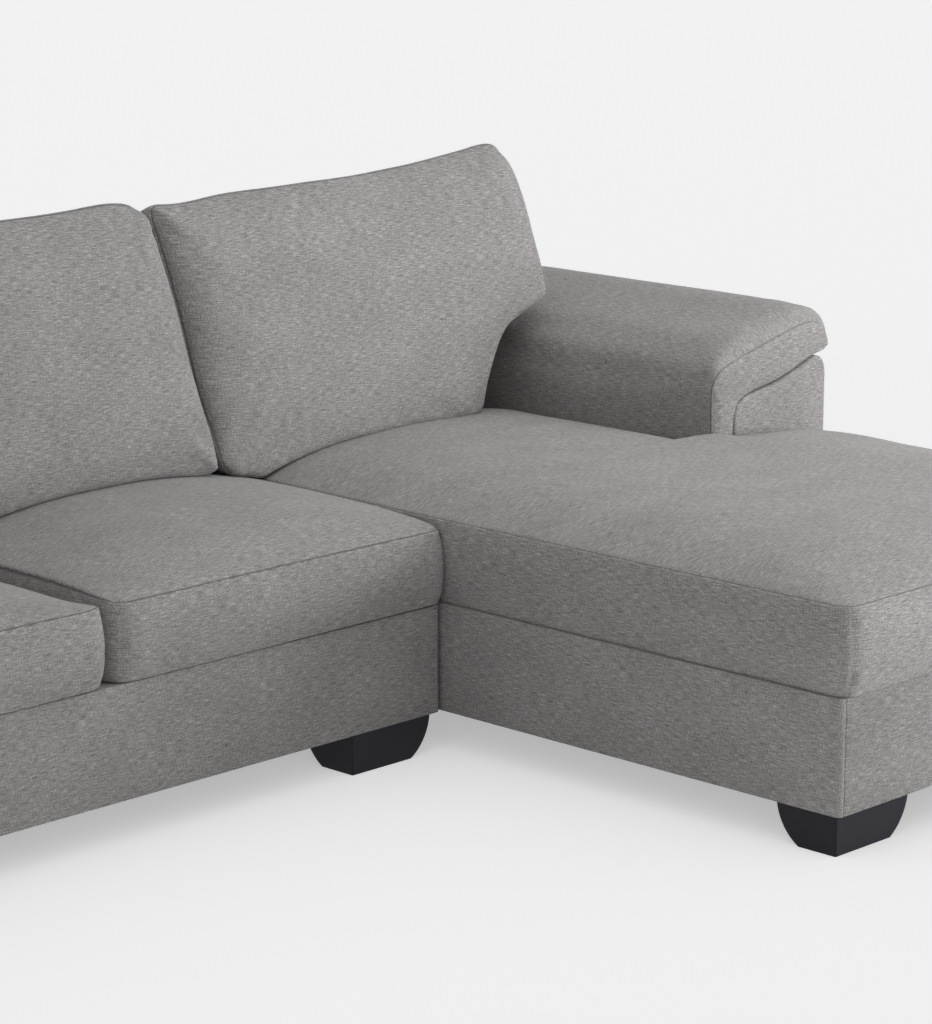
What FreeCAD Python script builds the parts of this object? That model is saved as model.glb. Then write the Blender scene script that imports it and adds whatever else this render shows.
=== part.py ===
"""Sectional sofa: a two-seat unit with the left arm and a chaise unit with the right arm.

+X runs along the seats from the sofa to the chaise, +Y to the back and +Z up. The origin is on the floor,
in the middle of the whole outline. All lengths are in millimetres.
"""

import FreeCAD, Part
import os

import Sketcher

doc = FreeCAD.newDocument("SectionalSofa")

# Driving dimensions
DIMENSIONS = {
    "seat_width": 740,  # from one seat's side to the next
    "arm_width": 320,
    "sofa_depth": 900,
    "chaise_reach": 870,  # how far the chaise stands out in front of the sofa
    "leg_height": 70,
    "base_height": 192,  # from the feet's top to the seat deck
    "fabric": 5,  # cover with its wadding
    "unit_gap": 6,  # between the covers of the two units
    "rail_thickness": 25,
    "deck_thickness": 9,
    "dust_cover_thickness": 2,
    "corner_radius": 9,
    "foot_width": 185,
    "foot_depth": 121,
    "foot_taper": 46,
    "foot_bow": 90,  # radius of the bowed faces
    "foot_side_inset": 13,
    "sofa_foot_setback": 2,
    "foot_setback": 15,
    "foot_corner_radius": 3,
    "bolt_inset_x": 80,  # from the foot's flat side to its bolt
    "bolt_inset_y": 50,
    "bolt_diameter": 10,
    "bolt_head_diameter": 18,
    "bolt_head_height": 7,
    "bolt_depth": 45,  # inside the foot
    "cloth_hole_radius": 7,  # of the six-sided holes for the bolts in the dust cover
    "block_height": 60,
    "block_width": 120,
    "block_depth": 90,
    "back_height": 518,  # above the deck
    "back_arm_gap": 1,  # between a back and the arm beside it
    "back_depth_low": 275,
    "back_depth_top": 150,
    "back_padding": 20,
    "back_top_padding": 15,
    "back_top_radius": 22,
    "top_rail_height": 25,
    "strap_thickness": 3,
    "strap_width": 60,
    "strap_pitch": 110,
    "arm_setback": 23,  # behind the front of the base
    "arm_overhang": 19,  # of the panel, outside the base
    "arm_top": 395,  # of the pad, above the deck
    "pad_thickness": 64,
    "pad_turn_width": 40,  # of the pad's inner bend, over the panel
    "pad_turn_drop": 39,
    "pad_turn_radius": 48,
    "pad_lap": 13,  # of the pad, outside the panel
    "pad_crown_out": 150,  # where the top's crown bends, from the inner face
    "pad_crown_drop": 20,
    "pad_inner_drop": 78,
    "pad_lip_radius": 50,
    "pad_crown_radius": 300,
    "pad_brow_radius": 55,
    "pad_front_radius": 16,
    "panel_top": 297,  # at its outer side, above the deck
    "panel_inner_top": 247,
    "panel_corner_radius": 22,
    "arm_padding": 15,
    "arm_frame_height": 205,
    "arm_board": 22,
    "cushion_gap": 3,  # beside each seat cushion
    "deck_clearance": 0.5,
    "cushion_back_gap": 5,
    "seat_seam": 134,  # height of the seat cushion's border
    "seat_crown": 54,
    "seat_bulge": 20,
    "chaise_seam": 149,
    "chaise_crown": 41,
    "chaise_bulge": 10,
    "drawn_in": 8,
    "foam_inset": 30,
    "foam_height": 112,
    "back_cushion_split": 100,  # left of the chaise, where the right back cushion begins
    "back_cushion_low": 190,  # bottom edge, above the deck
    "back_cushion_top": 650,
    "back_cushion_thick": 222,
    "back_cushion_thin": 185,
    "back_bulge": 26,
    "ear_start": 270,  # from the chaise seat's middle line
    "ear_reach": 150,  # over the arm
    "ear_rise": 42,
    "ear_fall": 215,  # of the ear's tip below the plain top
    "ear_clearance": 3,  # above the arm
    "steel": 2,
    "keeper_width": 40,
    "keeper_height": 40,
    "keeper_depth": 10,
    "keeper_level": 70,  # above the base's bottom
    "tongue_length": 48,
    "tongue_play": 1,
    "window_margin": 3,
}

sheet = doc.addObject("Spreadsheet::Sheet", "dims")
for row, (alias, value) in enumerate(DIMENSIONS.items(), 1):
    sheet.set(f"A{row}", alias)
    sheet.set(f"B{row}", str(value))
    sheet.setAlias(f"B{row}", alias)
doc.recompute()


class Size:
    """A length that holds its value and the sheet expression that gives it."""

    def __init__(self, value, expression):
        self.value = float(value)
        self.expression = expression

    def __float__(self):
        return self.value

    def __add__(self, other):
        other = as_size(other)
        return Size(self.value + other.value, f"({self.expression} + {other.expression})")

    def __sub__(self, other):
        other = as_size(other)
        return Size(self.value - other.value, f"({self.expression} - {other.expression})")

    def __mul__(self, other):
        other = as_size(other)
        return Size(self.value * other.value, f"({self.expression} * {other.expression})")

    def __truediv__(self, other):
        other = as_size(other)
        return Size(self.value / other.value, f"({self.expression} / {other.expression})")

    def __radd__(self, other):
        return as_size(other) + self

    def __rsub__(self, other):
        return as_size(other) - self

    def __rmul__(self, other):
        return as_size(other) * self

    def __neg__(self):
        return as_size(0) - self


def as_size(number):
    """The number as a Size, for sums that mix the two."""
    return number if isinstance(number, Size) else Size(number, f"{number:g}")


class Sizes:
    """Every driving dimension by its alias, read from the sheet."""

    def __getattr__(self, alias):
        return Size(sheet.get(alias), f"dims.{alias}")


d = Sizes()
nodes = []


def vector(x, y, z):
    """A vector from sizes or numbers."""
    return FreeCAD.Vector(float(x), float(y), float(z))


def keep(item):
    """Mark an object as a sub-part with a file of its own."""
    nodes.append(item)
    return item


def bind(item, **properties):
    """Bind properties of an object to sheet expressions."""
    for name, size in properties.items():
        item.setExpression(name, as_size(size).expression)


def place(item, x=0, y=0, z=0):
    """Bind the place of an object."""
    for axis, size in zip("xyz", (x, y, z)):
        item.setExpression(f"Placement.Base.{axis}", as_size(size).expression)


def board(label, low, high):
    """A board between two opposite corners."""
    box = doc.addObject("Part::Box", label)
    low = [as_size(size) for size in low]
    length, width, height = (as_size(end) - start for start, end in zip(low, high))
    bind(box, Length=length, Width=width, Height=height)
    place(box, *low)
    return box


def rod(label, x, y, z, diameter, height):
    """A round rod that stands on the point x, y, z."""
    cylinder = doc.addObject("Part::Cylinder", label)
    bind(cylinder, Radius=diameter / 2, Height=height)
    place(cylinder, x, y, z)
    return cylinder


def group(label, members):
    """One sub-part of several like pieces."""
    compound = doc.addObject("Part::Compound", label)
    compound.Links = members
    return compound


def cut(label, base, tools):
    """A piece with the tools' shapes taken out of it."""
    tool = tools[0] if len(tools) == 1 else group(label + "_tools", tools)
    result = doc.addObject("Part::Cut", label)
    result.Base = base
    result.Tool = tool
    return result


def outline(body, plane, points):
    """A closed sketch on one of the body's own planes, with each corner bound to sizes.

    A point is (u, v) after a straight side, or (u, v, radius) after an arc that bends outwards on an
    outline that runs against the clock. A negative radius bends inwards.
    """
    sketch = body.newObject("Sketcher::SketchObject", body.Name + "_sketch")
    origin = [item for item in body.Origin.OriginFeatures if item.Role == plane][0]
    sketch.AttachmentSupport = (origin, "")
    sketch.MapMode = "FlatFace"
    corners = [FreeCAD.Vector(float(point[0]), float(point[1]), 0) for point in points]
    starts, ends = [], []
    for index, point in enumerate(points):
        start, end = corners[index - 1], corners[index]
        radius = float(point[2]) if len(point) == 3 else None
        if radius is None:
            edge = Part.LineSegment(start, end)
        else:
            chord = end - start
            outward = FreeCAD.Vector(chord.y, -chord.x, 0).normalize()
            rise = abs(radius) - (radius**2 - (chord.Length / 2) ** 2) ** 0.5
            if radius > 0:
                edge = Part.Arc(start, (start + end) / 2 + outward * rise, end)
            else:
                edge = Part.Arc(end, (start + end) / 2 - outward * rise, start)
        # An arc in a sketch always runs against the clock, so an inward one starts at its far corner
        inward = radius is not None and radius < 0
        starts.append(2 if inward else 1)
        ends.append(1 if inward else 2)
        sketch.addGeometry(edge, False)
    for index, point in enumerate(points):
        follower = (index + 1) % len(points)
        join = Sketcher.Constraint("Coincident", index, ends[index], follower, starts[follower])
        sketch.addConstraint(join)
        for kind, size in zip(("DistanceX", "DistanceY"), point):
            size = as_size(size)
            spot = Sketcher.Constraint(kind, -1, 1, index, ends[index], float(size))
            number = sketch.addConstraint(spot)
            sketch.setExpression(f"Constraints[{number}]", size.expression)
        if len(point) == 3:
            radius = as_size(point[2])
            radius = -radius if radius.value < 0 else radius
            number = sketch.addConstraint(Sketcher.Constraint("Radius", index, float(radius)))
            sketch.setExpression(f"Constraints[{number}]", radius.expression)
    return sketch


def pad(body, sketch, length, reverse=False):
    """A pad of the sketch."""
    feature = body.newObject("PartDesign::Pad", body.Name + "_pad")
    feature.Profile = sketch
    feature.Reversed = reverse
    bind(feature, Length=length)
    return feature


def pocket_both_ways(body, sketch, reach):
    """A pocket of the sketch, as deep on both sides of its plane."""
    feature = body.newObject("PartDesign::Pocket", body.Name + "_pocket")
    feature.Profile = sketch
    feature.SideType = "Symmetric"
    bind(feature, Length=2 * reach)
    return feature


def round_edges(body, test, radius):
    """A fillet on the edges of the body that pass a test."""
    doc.recompute()
    base = body.Tip
    names = [f"Edge{i}" for i, edge in enumerate(base.Shape.Edges, 1) if test(edge)]
    fillet = body.newObject("PartDesign::Fillet", body.Name + "_fillet")
    fillet.Base = (base, names)
    bind(fillet, Radius=radius)
    return fillet


def lies_along(edge, axis):
    """Whether an edge is straight and runs along the axis 0, 1 or 2."""
    ends = [vertex.Point for vertex in edge.Vertexes]
    if len(ends) != 2:
        return False
    step = ends[1] - ends[0]
    return abs(abs(step[axis]) - edge.Length) < 1e-6


# Levels and faces that several pieces share
half_width = d.seat_width * 1.5 + d.arm_width
front = -(d.sofa_depth + d.chaise_reach) / 2
back = (d.sofa_depth + d.chaise_reach) / 2
sofa_front = back - d.sofa_depth
base_bottom = d.leg_height
deck_top = d.leg_height + d.base_height
rail_low = base_bottom + d.dust_cover_thickness
rail_top = deck_top - d.deck_thickness
junction = d.seat_width / 2
arm_inner = d.seat_width * 1.5
back_slope = (d.back_depth_low - d.back_depth_top) / d.back_height
back_foot = back - d.back_depth_low


def back_face(level):
    """How far back the leaning front of the back is, at a level above the deck."""
    return back_foot + back_slope * level


class Unit:
    """The plan of one unit: its outer faces and the inner faces of its cover."""

    def __init__(self, name, left, right, front_face, foot_setback):
        self.name = name
        self.left, self.right, self.front = left, right, front_face
        self.inner_left, self.inner_right = left + d.fabric, right - d.fabric
        self.inner_front, self.inner_back = front_face + d.fabric, back - d.fabric
        self.foot_setback = foot_setback
        # The back stands between the arm and the other unit
        self.back_left = max(left, -arm_inner + d.back_arm_gap, key=float)
        self.back_right = min(right, arm_inner - d.back_arm_gap, key=float)


sofa = Unit("sofa", -half_width, junction - d.unit_gap / 2, sofa_front, d.sofa_foot_setback)
chaise = Unit("chaise", junction + d.unit_gap / 2, half_width, front, d.foot_setback)


# Base frames
def base_frame(unit):
    """Four rails on edge, the deck board on them and the dust cover under them."""
    name = unit.name
    side_front = unit.inner_front + d.rail_thickness
    side_back = unit.inner_back - d.rail_thickness
    left, right = unit.inner_left, unit.inner_right
    spans = {
        "front_rail": ((left, unit.inner_front), (right, side_front)),
        "rear_rail": ((left, side_back), (right, unit.inner_back)),
        "left_rail": ((left, side_front), (left + d.rail_thickness, side_back)),
        "right_rail": ((right - d.rail_thickness, side_front), (right, side_back)),
    }
    for piece, (low, high) in spans.items():
        keep(board(f"{name}_{piece}", (*low, rail_low), (*high, rail_top)))
    keep(
        board(
            f"{name}_deck_board",
            (left, unit.inner_front, rail_top),
            (right, unit.inner_back, deck_top),
        )
    )


base_frame(sofa)
base_frame(chaise)

# Cross rails: under the left arm's inner side and between the two seats of the sofa, under the right
# arm's inner side and in line with the sofa's front in the chaise
inside_sofa_front = sofa.inner_front + d.rail_thickness
inside_back = sofa.inner_back - d.rail_thickness
under_left_arm = board(
    "under_left_arm",
    (-arm_inner - d.rail_thickness, inside_sofa_front, rail_low),
    (-arm_inner, inside_back, rail_top),
)
between_seats = board(
    "between_seats",
    (-junction - d.rail_thickness / 2, inside_sofa_front, rail_low),
    (-junction + d.rail_thickness / 2, inside_back, rail_top),
)
keep(group("sofa_cross_rails", [under_left_arm, between_seats]))

across_chaise = board(
    "across_chaise",
    (chaise.inner_left + d.rail_thickness, sofa_front - d.rail_thickness, rail_low),
    (chaise.inner_right - d.rail_thickness, sofa_front, rail_top),
)
under_right_arm = board(
    "under_right_arm",
    (arm_inner, sofa_front, rail_low),
    (arm_inner + d.rail_thickness, inside_back, rail_top),
)
keep(group("chaise_cross_rails", [across_chaise, under_right_arm]))


# Feet, with the bolts that hold them to blocks in the corners of the base
class FootSpot:
    """Where a foot stands: its flat corner, and +1 as the front feet lie or -1 turned half round."""

    def __init__(self, label, corner_x, corner_y, way):
        self.label, self.x, self.y, self.way = label, corner_x, corner_y, way
        self.bolt_x = corner_x + d.bolt_inset_x * way
        self.bolt_y = corner_y + d.bolt_inset_y * way


def foot_spots(unit):
    """The four feet of a unit. The rear ones are the front ones turned half round."""
    low, high = unit.left + d.foot_side_inset, unit.right - d.foot_side_inset
    far = d.foot_width + 2 * d.foot_side_inset
    front_y, rear_y = unit.front + unit.foot_setback, back - d.foot_setback
    return [
        FootSpot(f"{unit.name}_foot_front_left", low, front_y, 1),
        FootSpot(f"{unit.name}_foot_front_right", unit.right - far, front_y, 1),
        FootSpot(f"{unit.name}_foot_rear_left", unit.left + far, rear_y, -1),
        FootSpot(f"{unit.name}_foot_rear_right", high, rear_y, -1),
    ]


def foot(spot):
    """A block foot: flat front and left side, bowed right side and back, and a bore for its bolt."""
    body = doc.addObject("PartDesign::Body", spot.label)
    tread_x = d.foot_width - d.foot_taper
    side = outline(
        body,
        "XZ_Plane",
        [(0, 0), (tread_x, 0), (d.foot_width, d.leg_height, d.foot_bow), (0, d.leg_height)],
    )
    pad(body, side, d.foot_depth, reverse=True)
    tread_y = d.foot_depth - d.foot_taper
    beyond = d.foot_depth + d.foot_taper
    waste = outline(
        body,
        "YZ_Plane",
        [
            (beyond, 0),
            (beyond, d.leg_height),
            (d.foot_depth, d.leg_height),
            (tread_y, 0, -d.foot_bow),
        ],
    )
    doc.recompute()
    full = body.Shape.Volume
    pocket_both_ways(body, waste, 2 * d.foot_width)
    doc.recompute()
    assert body.Shape.Volume < full
    round_edges(body, lambda edge: lies_along(edge, 2), d.foot_corner_radius)
    bore = body.newObject("Sketcher::SketchObject", spot.label + "_bore_sketch")
    plane = [item for item in body.Origin.OriginFeatures if item.Role == "XY_Plane"][0]
    bore.AttachmentSupport = (plane, "")
    bore.MapMode = "FlatFace"
    bore.setExpression("AttachmentOffset.Base.z", d.leg_height.expression)
    centre = vector(d.bolt_inset_x, d.bolt_inset_y, 0)
    bore.addGeometry(Part.Circle(centre, vector(0, 0, 1), float(d.bolt_diameter / 2)), False)
    for kind, size in (("DistanceX", d.bolt_inset_x), ("DistanceY", d.bolt_inset_y)):
        number = bore.addConstraint(Sketcher.Constraint(kind, -1, 1, 0, 3, float(size)))
        bore.setExpression(f"Constraints[{number}]", size.expression)
    number = bore.addConstraint(Sketcher.Constraint("Diameter", 0, float(d.bolt_diameter)))
    bore.setExpression(f"Constraints[{number}]", d.bolt_diameter.expression)
    hole = body.newObject("PartDesign::Pocket", spot.label + "_bore")
    hole.Profile = bore
    bind(hole, Length=d.bolt_depth)
    if spot.way < 0:
        body.Placement.Rotation = FreeCAD.Rotation(FreeCAD.Vector(0, 0, 1), 180)
    place(body, spot.x, spot.y, 0)
    return body


def bolt(spot):
    """A bolt from the top of the corner block down into the foot, with its head on the block."""
    low = d.leg_height - d.bolt_depth
    shank = rod(
        spot.label + "_shank",
        spot.bolt_x,
        spot.bolt_y,
        low,
        d.bolt_diameter,
        d.bolt_depth + d.dust_cover_thickness + d.block_height,
    )
    head = doc.addObject("Part::Prism", spot.label + "_head")
    bind(head, Circumradius=d.bolt_head_diameter / 2, Height=d.bolt_head_height)
    place(head, spot.bolt_x, spot.bolt_y, rail_low + d.block_height)
    whole = doc.addObject("Part::Fuse", spot.label + "_bolt")
    whole.Base, whole.Tool = shank, head
    return whole


def corner_block(unit, spot):
    """A hardwood block on the inner face of a rail, with a hole for the bolt."""
    near_side = spot.label.endswith("front_left") or spot.label.endswith("rear_right")
    half = d.block_width / 2
    low_x, high_x = spot.bolt_x - half, spot.bolt_x + half
    if near_side and spot.way > 0:
        low_x = unit.inner_left + d.rail_thickness
    if near_side and spot.way < 0:
        high_x = unit.inner_right - d.rail_thickness
    if spot.way > 0:
        low_y = unit.inner_front + d.rail_thickness
        high_y = low_y + d.block_depth
    else:
        high_y = unit.inner_back - d.rail_thickness
        low_y = high_y - d.block_depth
    solid = board(
        spot.label + "_block_blank",
        (low_x, low_y, rail_low),
        (high_x, high_y, rail_low + d.block_height),
    )
    hole = rod(
        spot.label + "_block_hole",
        spot.bolt_x,
        spot.bolt_y,
        rail_low - 1,
        d.bolt_diameter,
        d.block_height + 2,
    )
    return cut(spot.label + "_block", solid, [hole])


for unit in (sofa, chaise):
    spots = foot_spots(unit)
    for spot in spots:
        keep(foot(spot))
    keep(group(f"{unit.name}_foot_bolts", [bolt(spot) for spot in spots]))
    keep(group(f"{unit.name}_corner_blocks", [corner_block(unit, spot) for spot in spots]))
    cloth = board(
        f"{unit.name}_dust_cloth",
        (unit.inner_left, unit.inner_front, base_bottom),
        (unit.inner_right, unit.inner_back, rail_low),
    )
    holes = []
    for spot in spots:
        hole = doc.addObject("Part::Prism", spot.label + "_cloth_hole")
        bind(hole, Circumradius=d.cloth_hole_radius, Height=d.dust_cover_thickness + 2)
        place(hole, spot.bolt_x, spot.bolt_y, base_bottom - 1)
        holes.append(hole)
    keep(cut(f"{unit.name}_dust_cover", cloth, holes))

# Connectors: a steel keeper on the sofa's side rail, and a tongue on the chaise's that drops into it
keeper_low = base_bottom + d.keeper_level
keeper_back = sofa.inner_right
keeper_places = [sofa_front + d.sofa_depth / 4, sofa_front + d.sofa_depth * 3 / 4]
slot_front = keeper_back + d.keeper_depth - d.steel
tongue_front = slot_front - d.tongue_play / 2
tongue_back = tongue_front - d.steel


def keeper(label, y):
    """A rectangular steel loop, open above and below."""
    body = doc.addObject("PartDesign::Body", label)
    half = d.keeper_width / 2 + d.steel
    rim = [(0, -half), (d.keeper_depth, -half), (d.keeper_depth, half), (0, half)]
    pad(body, outline(body, "XY_Plane", rim), d.keeper_height)
    inner = half - d.steel
    low, high = d.steel, d.keeper_depth - d.steel
    doc.recompute()
    full = body.Shape.Volume
    slot = [(low, -inner), (high, -inner), (high, inner), (low, inner)]
    pocket_both_ways(body, outline(body, "XY_Plane", slot), 2 * d.keeper_height)
    doc.recompute()
    assert body.Shape.Volume < full
    place(body, keeper_back, y, keeper_low)
    return body


def tongue(label, y):
    """A steel plate on the chaise's rail, bent over and down into the keeper."""
    body = doc.addObject("PartDesign::Body", label)
    plate_back = chaise.inner_left - tongue_back
    neck = d.keeper_height + 2 * d.steel
    foot_level = d.keeper_height - d.tongue_length
    points = [
        (0, foot_level),
        (d.steel, foot_level),
        (d.steel, neck),
        (plate_back - d.steel, neck),
        (plate_back - d.steel, 0),
        (plate_back, 0),
        (plate_back, neck + d.steel),
        (0, neck + d.steel),
    ]
    width = d.keeper_width - 2 * d.tongue_play
    pad(body, outline(body, "XZ_Plane", points), width, reverse=True)
    place(body, tongue_back, y - width / 2, keeper_low)
    return body


keep(group("sofa_connector_keepers", [keeper(f"keeper_{i}", y) for i, y in enumerate(keeper_places, 1)]))
keep(group("chaise_connector_tongues", [tongue(f"tongue_{i}", y) for i, y in enumerate(keeper_places, 1)]))


# Base covers: a padded band round the rails, with windows for the connectors
def base_cover(unit, window_x):
    """The band, with rounded upright corners."""
    body = doc.addObject("PartDesign::Body", f"{unit.name}_band")
    rim = [(unit.left, unit.front), (unit.right, unit.front), (unit.right, back), (unit.left, back)]
    pad(body, outline(body, "XY_Plane", rim), d.base_height)
    round_edges(body, lambda edge: lies_along(edge, 2), d.corner_radius)
    low_x, high_x = unit.inner_left, unit.inner_right
    low_y, high_y = unit.inner_front, unit.inner_back
    doc.recompute()
    full = body.Shape.Volume
    inside = [(low_x, low_y), (high_x, low_y), (high_x, high_y), (low_x, high_y)]
    pocket_both_ways(body, outline(body, "XY_Plane", inside), 2 * d.base_height)
    doc.recompute()
    assert body.Shape.Volume < full
    place(body, 0, 0, base_bottom)
    half = d.keeper_width / 2 + d.steel + d.window_margin
    windows = [
        board(
            f"{unit.name}_window_{i}",
            (window_x - 1, y - half, keeper_low - d.window_margin),
            (
                window_x + d.fabric + 1,
                y + half,
                keeper_low + d.keeper_height + 3 * d.steel + d.window_margin,
            ),
        )
        for i, y in enumerate(keeper_places, 1)
    ]
    return cut(f"{unit.name}_base_cover", body, windows)


keep(base_cover(sofa, sofa.inner_right))
keep(base_cover(chaise, chaise.left))


# Backs: posts on the deck, a top rail, straps over the posts and a padded cover over all of it
def back_assembly(unit, middle_posts):
    """The back of one unit, with a post at each end."""
    name = unit.name
    inner_left, inner_right = unit.back_left + d.fabric, unit.back_right - d.fabric
    cavity_front = back_foot + d.back_padding
    cavity_top = d.back_height - d.back_top_padding
    post_top = cavity_top - d.top_rail_height
    post_front = cavity_front + d.strap_thickness
    posts = []
    for index, x in enumerate([inner_left, *middle_posts, inner_right - d.rail_thickness], 1):
        body = doc.addObject("PartDesign::Body", f"{name}_back_post_{index}")
        points = [
            (post_front, 0),
            (unit.inner_back, 0),
            (unit.inner_back, post_top),
            (post_front + back_slope * post_top, post_top),
        ]
        pad(body, outline(body, "YZ_Plane", points), d.rail_thickness)
        place(body, x, 0, deck_top)
        posts.append(body)
    keep(group(f"{name}_back_posts", posts))
    keep(
        board(
            f"{name}_back_top_rail",
            (inner_left, post_front + back_slope * cavity_top, deck_top + post_top),
            (inner_right, unit.inner_back, deck_top + cavity_top),
        )
    )
    straps = []
    count = int(float(post_top) // float(d.strap_pitch))
    for index in range(count):
        body = doc.addObject("PartDesign::Body", f"{name}_back_strap_{index + 1}")
        low = d.strap_pitch * (index + 0.4)
        high = low + d.strap_width
        points = [
            (cavity_front + back_slope * low, low),
            (post_front + back_slope * low, low),
            (post_front + back_slope * high, high),
            (cavity_front + back_slope * high, high),
        ]
        pad(body, outline(body, "YZ_Plane", points), inner_right - inner_left)
        place(body, inner_left, 0, deck_top)
        straps.append(body)
    keep(group(f"{name}_back_straps", straps))

    cover = doc.addObject("PartDesign::Body", f"{name}_back_cover")
    width = unit.back_right - unit.back_left
    points = [
        (back_foot, 0),
        (back, 0),
        (back, d.back_height),
        (back_face(d.back_height), d.back_height),
    ]
    pad(cover, outline(cover, "YZ_Plane", points), width)
    top = float(d.back_height)
    round_edges(
        cover,
        lambda edge: edge.BoundBox.ZMin > top - 1e-3,
        d.back_top_radius,
    )
    hollow = [
        (cavity_front, 0),
        (unit.inner_back, 0),
        (unit.inner_back, cavity_top),
        (cavity_front + back_slope * cavity_top, cavity_top),
    ]
    sketch = outline(cover, "YZ_Plane", hollow)
    sketch.setExpression("AttachmentOffset.Base.z", d.fabric.expression)
    doc.recompute()
    full = cover.Shape.Volume
    cavity = cover.newObject("PartDesign::Pocket", f"{name}_back_cavity")
    cavity.Profile = sketch
    cavity.Reversed = True
    bind(cavity, Length=width - 2 * d.fabric)
    doc.recompute()
    assert cover.Shape.Volume < full
    place(cover, unit.back_left, 0, deck_top)
    keep(cover)


back_assembly(sofa, [-junction - d.rail_thickness / 2])
back_assembly(chaise, [])

# Arms: a panel with its frame inside, and an overstuffed pad that laps over it, both as deep as the sofa
arm_front = sofa_front + d.arm_setback
panel_side = d.arm_width + d.arm_overhang
arm_length = back - arm_front
pad_turn = d.pad_thickness + d.pad_turn_width  # where the pad's inner side ends and its lap begins
turn_low = d.panel_inner_top - d.pad_turn_drop


def arm_outline(side, points):
    """Points given from the arm's inner face outwards, for the right arm (+1) or the left arm (-1).

    The left arm's outline is walked the other way, so each radius moves to the other end of its side.
    """
    if side > 0:
        return points
    walked = []
    for index in reversed(range(len(points))):
        across, level = points[index][:2]
        radius = points[(index + 1) % len(points)][2:]
        walked.append((-as_size(across), level, *radius))
    return walked


def arm_panel(label, side):
    """The upholstered panel, hollow for its frame."""
    body = doc.addObject("PartDesign::Body", label)
    points = [
        (d.pad_thickness, 0),
        (panel_side, 0),
        (panel_side, d.panel_top),
        (pad_turn, d.panel_inner_top),
        (d.pad_thickness, turn_low, d.pad_turn_radius),
    ]
    pad(body, outline(body, "XZ_Plane", arm_outline(side, points)), arm_length, reverse=True)
    edge_x = float(panel_side) * side
    round_edges(
        body,
        lambda edge: abs(edge.BoundBox.XMin - edge_x) < 1e-3
        and abs(edge.BoundBox.XMax - edge_x) < 1e-3
        and edge.BoundBox.ZMin > 1
        and edge.BoundBox.YLength > 1,
        d.panel_corner_radius,
    )
    low_x, high_x = d.pad_thickness + d.arm_padding, panel_side - d.arm_padding
    hollow = arm_outline(
        side,
        [(low_x, 0), (high_x, 0), (high_x, d.arm_frame_height), (low_x, d.arm_frame_height)],
    )
    sketch = outline(body, "XZ_Plane", hollow)
    sketch.setExpression("AttachmentOffset.Base.z", (-d.arm_padding).expression)
    doc.recompute()
    full = body.Shape.Volume
    cavity = body.newObject("PartDesign::Pocket", label + "_cavity")
    cavity.Profile = sketch
    bind(cavity, Length=arm_length - 2 * d.arm_padding)
    doc.recompute()
    assert body.Shape.Volume < full
    place(body, arm_inner * side, arm_front, deck_top)
    return body


def arm_frame(label, side):
    """Boards inside the panel: one at each end, one along each side and one on top."""
    near, far = d.pad_thickness + d.arm_padding, panel_side - d.arm_padding
    start, end = arm_front + d.arm_padding, back - d.arm_padding
    top = deck_top + d.arm_frame_height
    shelf = top - d.arm_board

    def piece(name, low, high):
        xs = sorted((arm_inner * side + low[0] * side, arm_inner * side + high[0] * side), key=float)
        return board(f"{label}_{name}", (xs[0], low[1], low[2]), (xs[1], high[1], high[2]))

    inner_start, inner_end = start + d.arm_board, end - d.arm_board
    return group(
        label,
        [
            piece("front", (near, start, deck_top), (far, inner_start, shelf)),
            piece("rear", (near, inner_end, deck_top), (far, end, shelf)),
            piece("inner", (near, inner_start, deck_top), (near + d.arm_board, inner_end, shelf)),
            piece("outer", (far - d.arm_board, inner_start, deck_top), (far, inner_end, shelf)),
            piece("top", (near, start, shelf), (far, end, top)),
        ],
    )


def arm_pad(label, side):
    """The overstuffed pad: a thick inner side, a crowned top and a rounded lip outside the panel."""
    body = doc.addObject("PartDesign::Body", label)
    lip = panel_side + d.pad_lap
    shoulder, crown = (d.pad_crown_out, d.arm_top - d.pad_crown_drop), (lip, d.arm_top)
    heel, brow = (lip, d.panel_top + d.pad_lap), (0, d.arm_top - d.pad_inner_drop)
    points = [
        (0, 0),
        (d.pad_thickness, 0),
        (d.pad_thickness, turn_low),
        (pad_turn, d.panel_inner_top, -d.pad_turn_radius),
        (panel_side, d.panel_top),
        heel,
        crown,
        shoulder,
        brow,
    ]
    pad(body, outline(body, "XZ_Plane", arm_outline(side, points)), arm_length, reverse=True)

    def round_long_edge(corner, radius):
        spot = vector(corner[0] * side, 0, corner[1])
        round_edges(
            body,
            lambda edge: lies_along(edge, 1)
            and edge.Vertexes[0].Point.distanceToLine(spot, vector(0, 1, 0)) < 1e-3,
            radius,
        )

    def is_front_rim(edge):
        middle = edge.valueAt((edge.FirstParameter + edge.LastParameter) / 2)
        on_inner_face = middle.x * side < 1e-3 and middle.z > 1
        return edge.BoundBox.YMax < 1e-3 and (on_inner_face or middle.z > float(d.panel_top) + 1e-3)

    round_long_edge(crown, d.pad_lip_radius)
    round_long_edge(shoulder, d.pad_crown_radius)
    round_long_edge(brow, d.pad_brow_radius)
    round_edges(body, is_front_rim, d.pad_front_radius)
    place(body, arm_inner * side, arm_front, deck_top)
    return body


for label, side in (("left_arm", -1), ("right_arm", 1)):
    keep(arm_panel(f"{label}_panel", side))
    keep(arm_frame(f"{label}_frame", side))
    keep(arm_pad(f"{label}_pad", side))


# Cushions
def solid_feature(label, shape):
    """A sub-part whose shape is built here from sections."""
    feature = doc.addObject("Part::Feature", label)
    feature.Shape = shape
    feature.Placement = FreeCAD.Placement()
    return feature


def closed_wire(corners, middles):
    """A closed wire through the corners. A side with a middle point is an arc through it."""
    edges = []
    for index, (start, middle) in enumerate(zip(corners, middles)):
        end = corners[(index + 1) % len(corners)]
        line = Part.LineSegment(start, end) if middle is None else Part.Arc(start, middle, end)
        edges.append(line.toShape())
    return Part.Wire(edges)


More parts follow.
